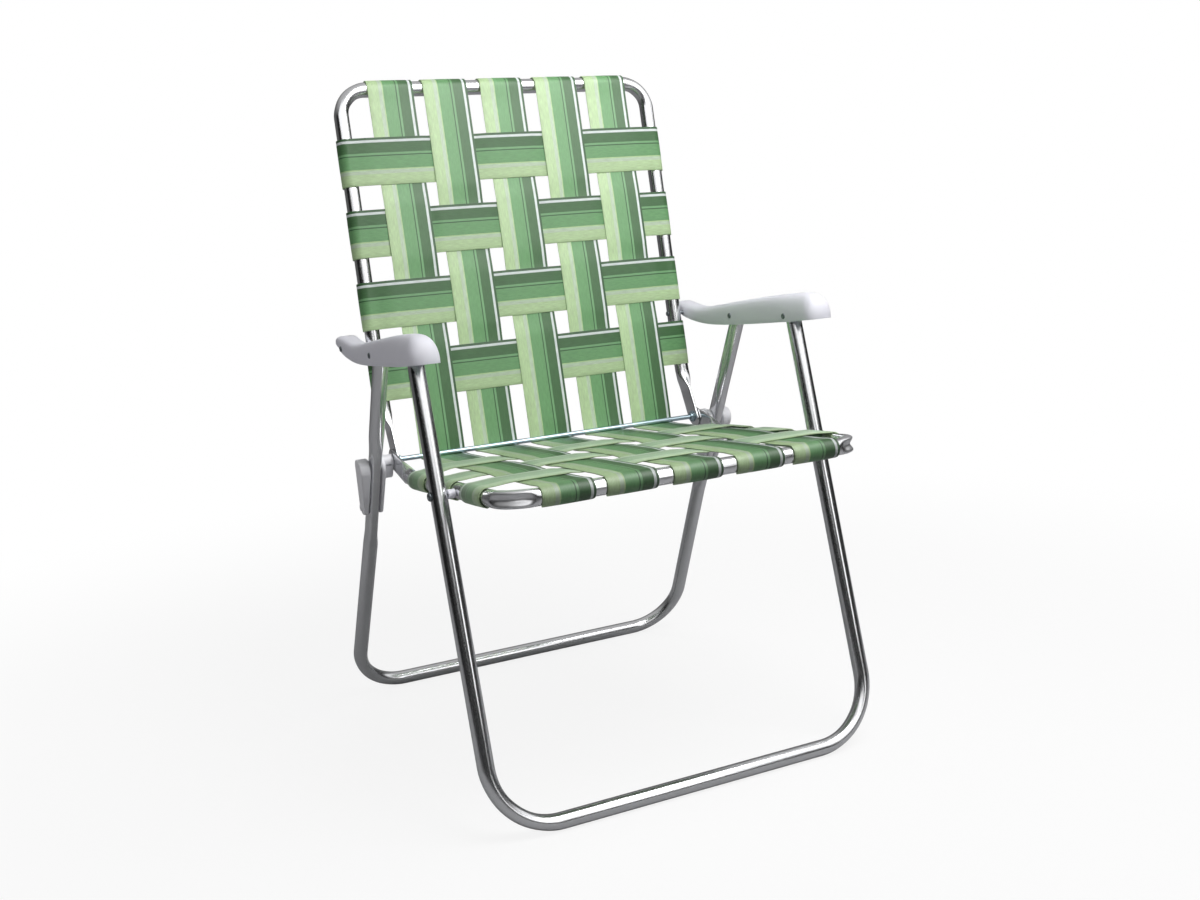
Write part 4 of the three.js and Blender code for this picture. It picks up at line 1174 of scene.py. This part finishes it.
collarShape = [
    (0.0034, 0.19905), (0.0042, 0.19905), (0.0048, 0.1996), (0.0048, 0.2009), (0.0053, 0.20155), (0.0066, 0.2014), (0.007, 0.2017),
    (0.0072, 0.2022), (0.007, 0.2027), (0.0064, 0.20305), (0.0044, 0.2029), (0.0034, 0.20305), (0.0034, 0.19905),
]
placePair(turnedPiece(rod, collarShape, True), "push_nut", "seat", zinc, "rod_collar")

spacerShape = [
    (0.0027, 0.21598), (0.0044, 0.21598), (0.005, 0.2163), (0.0052, 0.2169), (0.0049, 0.2177), (0.0047, 0.22), (0.0049, 0.2223),
    (0.0052, 0.2231), (0.005, 0.2237), (0.0044, 0.22402), (0.0027, 0.22402), (0.0027, 0.21598),
]
placePair(turnedPiece(seatPivot, spacerShape, True), "leg_bushing", "seat", whitePlastic, "leg_spacer")
print("rod and fasteners turned")

bracketShape = {
    "sides": 64, "toe": 0.0095, "head": 0.0135, "outerThick": 0.0054, "innerThick": 0.004, "flare": 0.007,
    "gap": 0.0005, "headDrop": 0.0045, "headAhead": 0.0053, "bridgeGap": 0.00055, "bridgeThick": 0.003,
    "bridgeDrop": 0.0135, "bridgeHeight": 0.015, "knuckleTop": 0.008, "knuckleBase": 0.0085, "knuckleDrop": 0.248,
}
toRod = rod - hingePivot
rodBack, rodRise = toRod.dot(rearLegRear), toRod.dot(rearLegUp)
cheekRise = rodRise - bracketShape["headDrop"]


def flareAt(rise):
    return bracketShape["flare"] * (rise + bracketShape["toe"]) / (cheekRise + bracketShape["toe"])


def discPlate(low, high, startX, thickness, crown, flared):
    sides = bracketShape["sides"]
    deselectAll()
    bpy.ops.mesh.primitive_circle_add(vertices=sides, radius=1, fill_type="NGON", location=(0, 0, 0))
    plate = bpy.context.object
    bpy.ops.object.mode_set(mode="EDIT")
    bpy.ops.mesh.select_all(action="SELECT")
    for share in (0.3, 0.4, 0.3):
        extrudeBy((0, 0, thickness * share))
    bpy.ops.mesh.inset(thickness=0.3)
    bpy.ops.mesh.inset(thickness=0.3)
    bpy.ops.mesh.select_all(action="SELECT")
    bpy.ops.mesh.normals_make_consistent(inside=False)
    bpy.ops.object.mode_set(mode="OBJECT")
    points = readPoints(plate)
    lowRadius, lowBack, lowRise = low
    highRadius, highBack, highRise = high
    reach = math.hypot(highBack - lowBack, highRise - lowRise)
    axis = np.array([(highBack - lowBack) / reach, (highRise - lowRise) / reach])
    lean = (highRadius - lowRadius) / reach
    moved = np.empty_like(points)
    for index, (x, y, z) in enumerate(points):
        radius = math.hypot(x, y)
        heading = np.array([x, y]) / radius
        onHigh = heading @ axis > -lean
        centre, size = ((highBack, highRise), highRadius) if onHigh else ((lowBack, lowRise), lowRadius)
        outline = np.array(centre) + heading * size
        middle = np.array([mix(lowBack, highBack, 0.5), mix(lowRise, highRise, 0.5)])
        spine = np.array([lowBack, lowRise]) + axis * np.clip((outline - np.array([lowBack, lowRise])) @ axis, 0, reach)
        inner = mix(spine, outline, radius)
        onTop = z > thickness * 0.999
        lift = crown * float(smooth(1 - radius)) if onTop else 0
        side = startX + z + lift + (flareAt(inner[1]) * mix(0.12, 1, z / thickness) if flared else 0)
        moved[index] = hingePivot + rearLegRear * inner[0] + rearLegUp * inner[1] + acrossX * side
    writePoints(plate, moved)
    pick(plate)
    bpy.ops.object.mode_set(mode="EDIT")
    bpy.ops.mesh.select_all(action="SELECT")
    bpy.ops.mesh.normals_make_consistent(inside=False)
    bpy.ops.object.mode_set(mode="OBJECT")
    soft = plate.modifiers.new("softEdge", "BEVEL")
    soft.width = 0.0013
    soft.segments = 3
    soft.limit_method = "ANGLE"
    soft.angle_limit = math.radians(40)
    applyModifiers(plate)
    return plate


def boxPiece(back, rise, side, size, roundness):
    deselectAll()
    centre = hingePivot + rearLegRear * back + rearLegUp * rise + acrossX * side
    turnBox = Matrix((acrossX, rearLegRear, rearLegUp)).transposed()
    bpy.ops.mesh.primitive_cube_add(size=1, location=centre, rotation=turnBox.to_euler())
    piece = bpy.context.object
    piece.scale = size
    bpy.ops.object.transform_apply(location=True, rotation=True, scale=True)
    soft = piece.modifiers.new("softEdge", "BEVEL")
    soft.width = roundness
    soft.segments = 3
    applyModifiers(piece)
    return piece


def joinSolids(base, others, operation):
    for other in others:
        cutter = base.modifiers.new("join", "BOOLEAN")
        cutter.operation = operation
        cutter.solver = "EXACT"
        cutter.object = other
        applyModifiers(base)
        bpy.data.objects.remove(other)
    return base


innerFace = layout["legCentre"] - pressing["halfAcross"] - bracketShape["gap"]
outerFace = layout["legCentre"] + pressing["halfAcross"] + bracketShape["gap"]
toeDisc = (bracketShape["toe"], 0, 0)
headDisc = (bracketShape["head"], rodBack - bracketShape["headAhead"], cheekRise)
innerPlate = discPlate(toeDisc, headDisc, innerFace - bracketShape["innerThick"], bracketShape["innerThick"], 0, False)
outerPlate = discPlate(toeDisc, headDisc, outerFace, bracketShape["outerThick"], 0.0009, True)
knuckleInside = layout["railCentre"] + strap["shift"] + strap["thickness"] / 2 + 0.0003
knuckle = discPlate(
    (bracketShape["knuckleBase"], rodBack, rodRise * (1 - bracketShape["knuckleDrop"])),
    (bracketShape["knuckleTop"], rodBack, rodRise), knuckleInside, innerFace - bracketShape["innerThick"] / 2 - knuckleInside, 0, False,
)
bridgeRise = rodRise - bracketShape["bridgeDrop"] + bracketShape["bridgeHeight"] / 2
bridgeStart = innerFace - bracketShape["innerThick"] / 2
bridgeEnd = outerFace + flareAt(bridgeRise) + bracketShape["outerThick"] / 2
bridge = boxPiece(
    pressing["halfUp"] + bracketShape["bridgeGap"] + bracketShape["bridgeThick"] / 2, bridgeRise, (bridgeStart + bridgeEnd) / 2,
    (bridgeEnd - bridgeStart, bracketShape["bridgeThick"], bracketShape["bridgeHeight"]), 0.0008,
)
bracket = joinSolids(innerPlate, [outerPlate, knuckle, bridge], "UNION")
window = boxPiece(rodBack - 0.0065, rodRise - 0.0006, 0.2172, (0.0088, 0.009, 0.0026), 0.0004)
joinSolids(bracket, [window], "DIFFERENCE")
pick(bracket)
bpy.ops.object.shade_smooth_by_angle(angle=math.radians(35))
placePair(bracket, "fold_bracket", "brackets", greyPlastic, "hinge_bracket")
print("hinge brackets moulded")

pinShapes = {
    "outer": [(0.001, 0.2426), (0.0044, 0.2426), (0.0044, 0.2479), (0.004, 0.2484), (0.0028, 0.2487), (0.001, 0.2488)],
    "inner": [(0.001, 0.2218), (0.0028, 0.2219), (0.004, 0.2221), (0.0044, 0.2226), (0.0044, 0.2262), (0.001, 0.2262)],
}
for pinSide, profile in pinShapes.items():
    placePair(
        turnedPiece(hingePivot, profile), f"bracket_{pinSide}_pin", "brackets", greyPlastic,
        f"bracket_{pinSide}_rivet",
    )

screwShape = {
    "profile": [
        (0.0006, 0.0002), (0.0010, 0.0003), (0.0013, 0.0008), (0.0019, 0.0010), (0.0024, 0.0008), (0.0027, 0.0004),
        (0.0032, 0.0002), (0.0033, -0.0001), (0.0032, -0.0006), (0.0016, -0.0008),
    ],
    "turn": 228,
}


def webScrew(name, centre, outward, body):
    profile = [(radius, reach) for radius, reach in screwShape["profile"]]
    screw = turnedPiece(Vector((0, 0, 0)), profile)
    place = centre + outward * (webRadius + webbing["thickness"] / 2 + 0.0014)
    aim = outward.to_track_quat("X", "Z").to_matrix()
    points = readPoints(screw) @ np.array(aim).T + np.array(place)
    writePoints(screw, points)
    finishPiece(screw, name, body, zinc)


screwTurn = math.radians(screwShape["turn"])
for column, centreX in enumerate(webbing["centres"], 1):
    for plane, body, sign in ((backPlane, "back", -1), (seatPlane, "seat", 1)):
        outward = rotatedFace(plane["normal"], acrossX, sign * screwTurn)
        webScrew(f"web_screw_{body}_end_{column}", plane["endRail"] + acrossX * centreX, outward, body)
for plane, body, rows in ((backPlane, "back", webbing["backRows"]), (seatPlane, "seat", webbing["seatRows"])):
    for row, distance in enumerate(rows, 1):
        for side, sideName in ((-1, "left"), (1, "right")):
            outward = plane["face"] * math.cos(screwTurn) + acrossX * (side * math.sin(screwTurn))
            middle = plane["foot"] + plane["direction"] * distance + acrossX * (side * layout["railCentre"])
            webScrew(f"web_screw_{body}_{sideName}_{row}", middle, outward, body)
print("web ends screwed")

for nodeName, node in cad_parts.items():
    if node.hide_render:
        continue
    node.data.materials.clear()
    node.data.materials.append(darkSteel if "rivet" in nodeName else zinc)
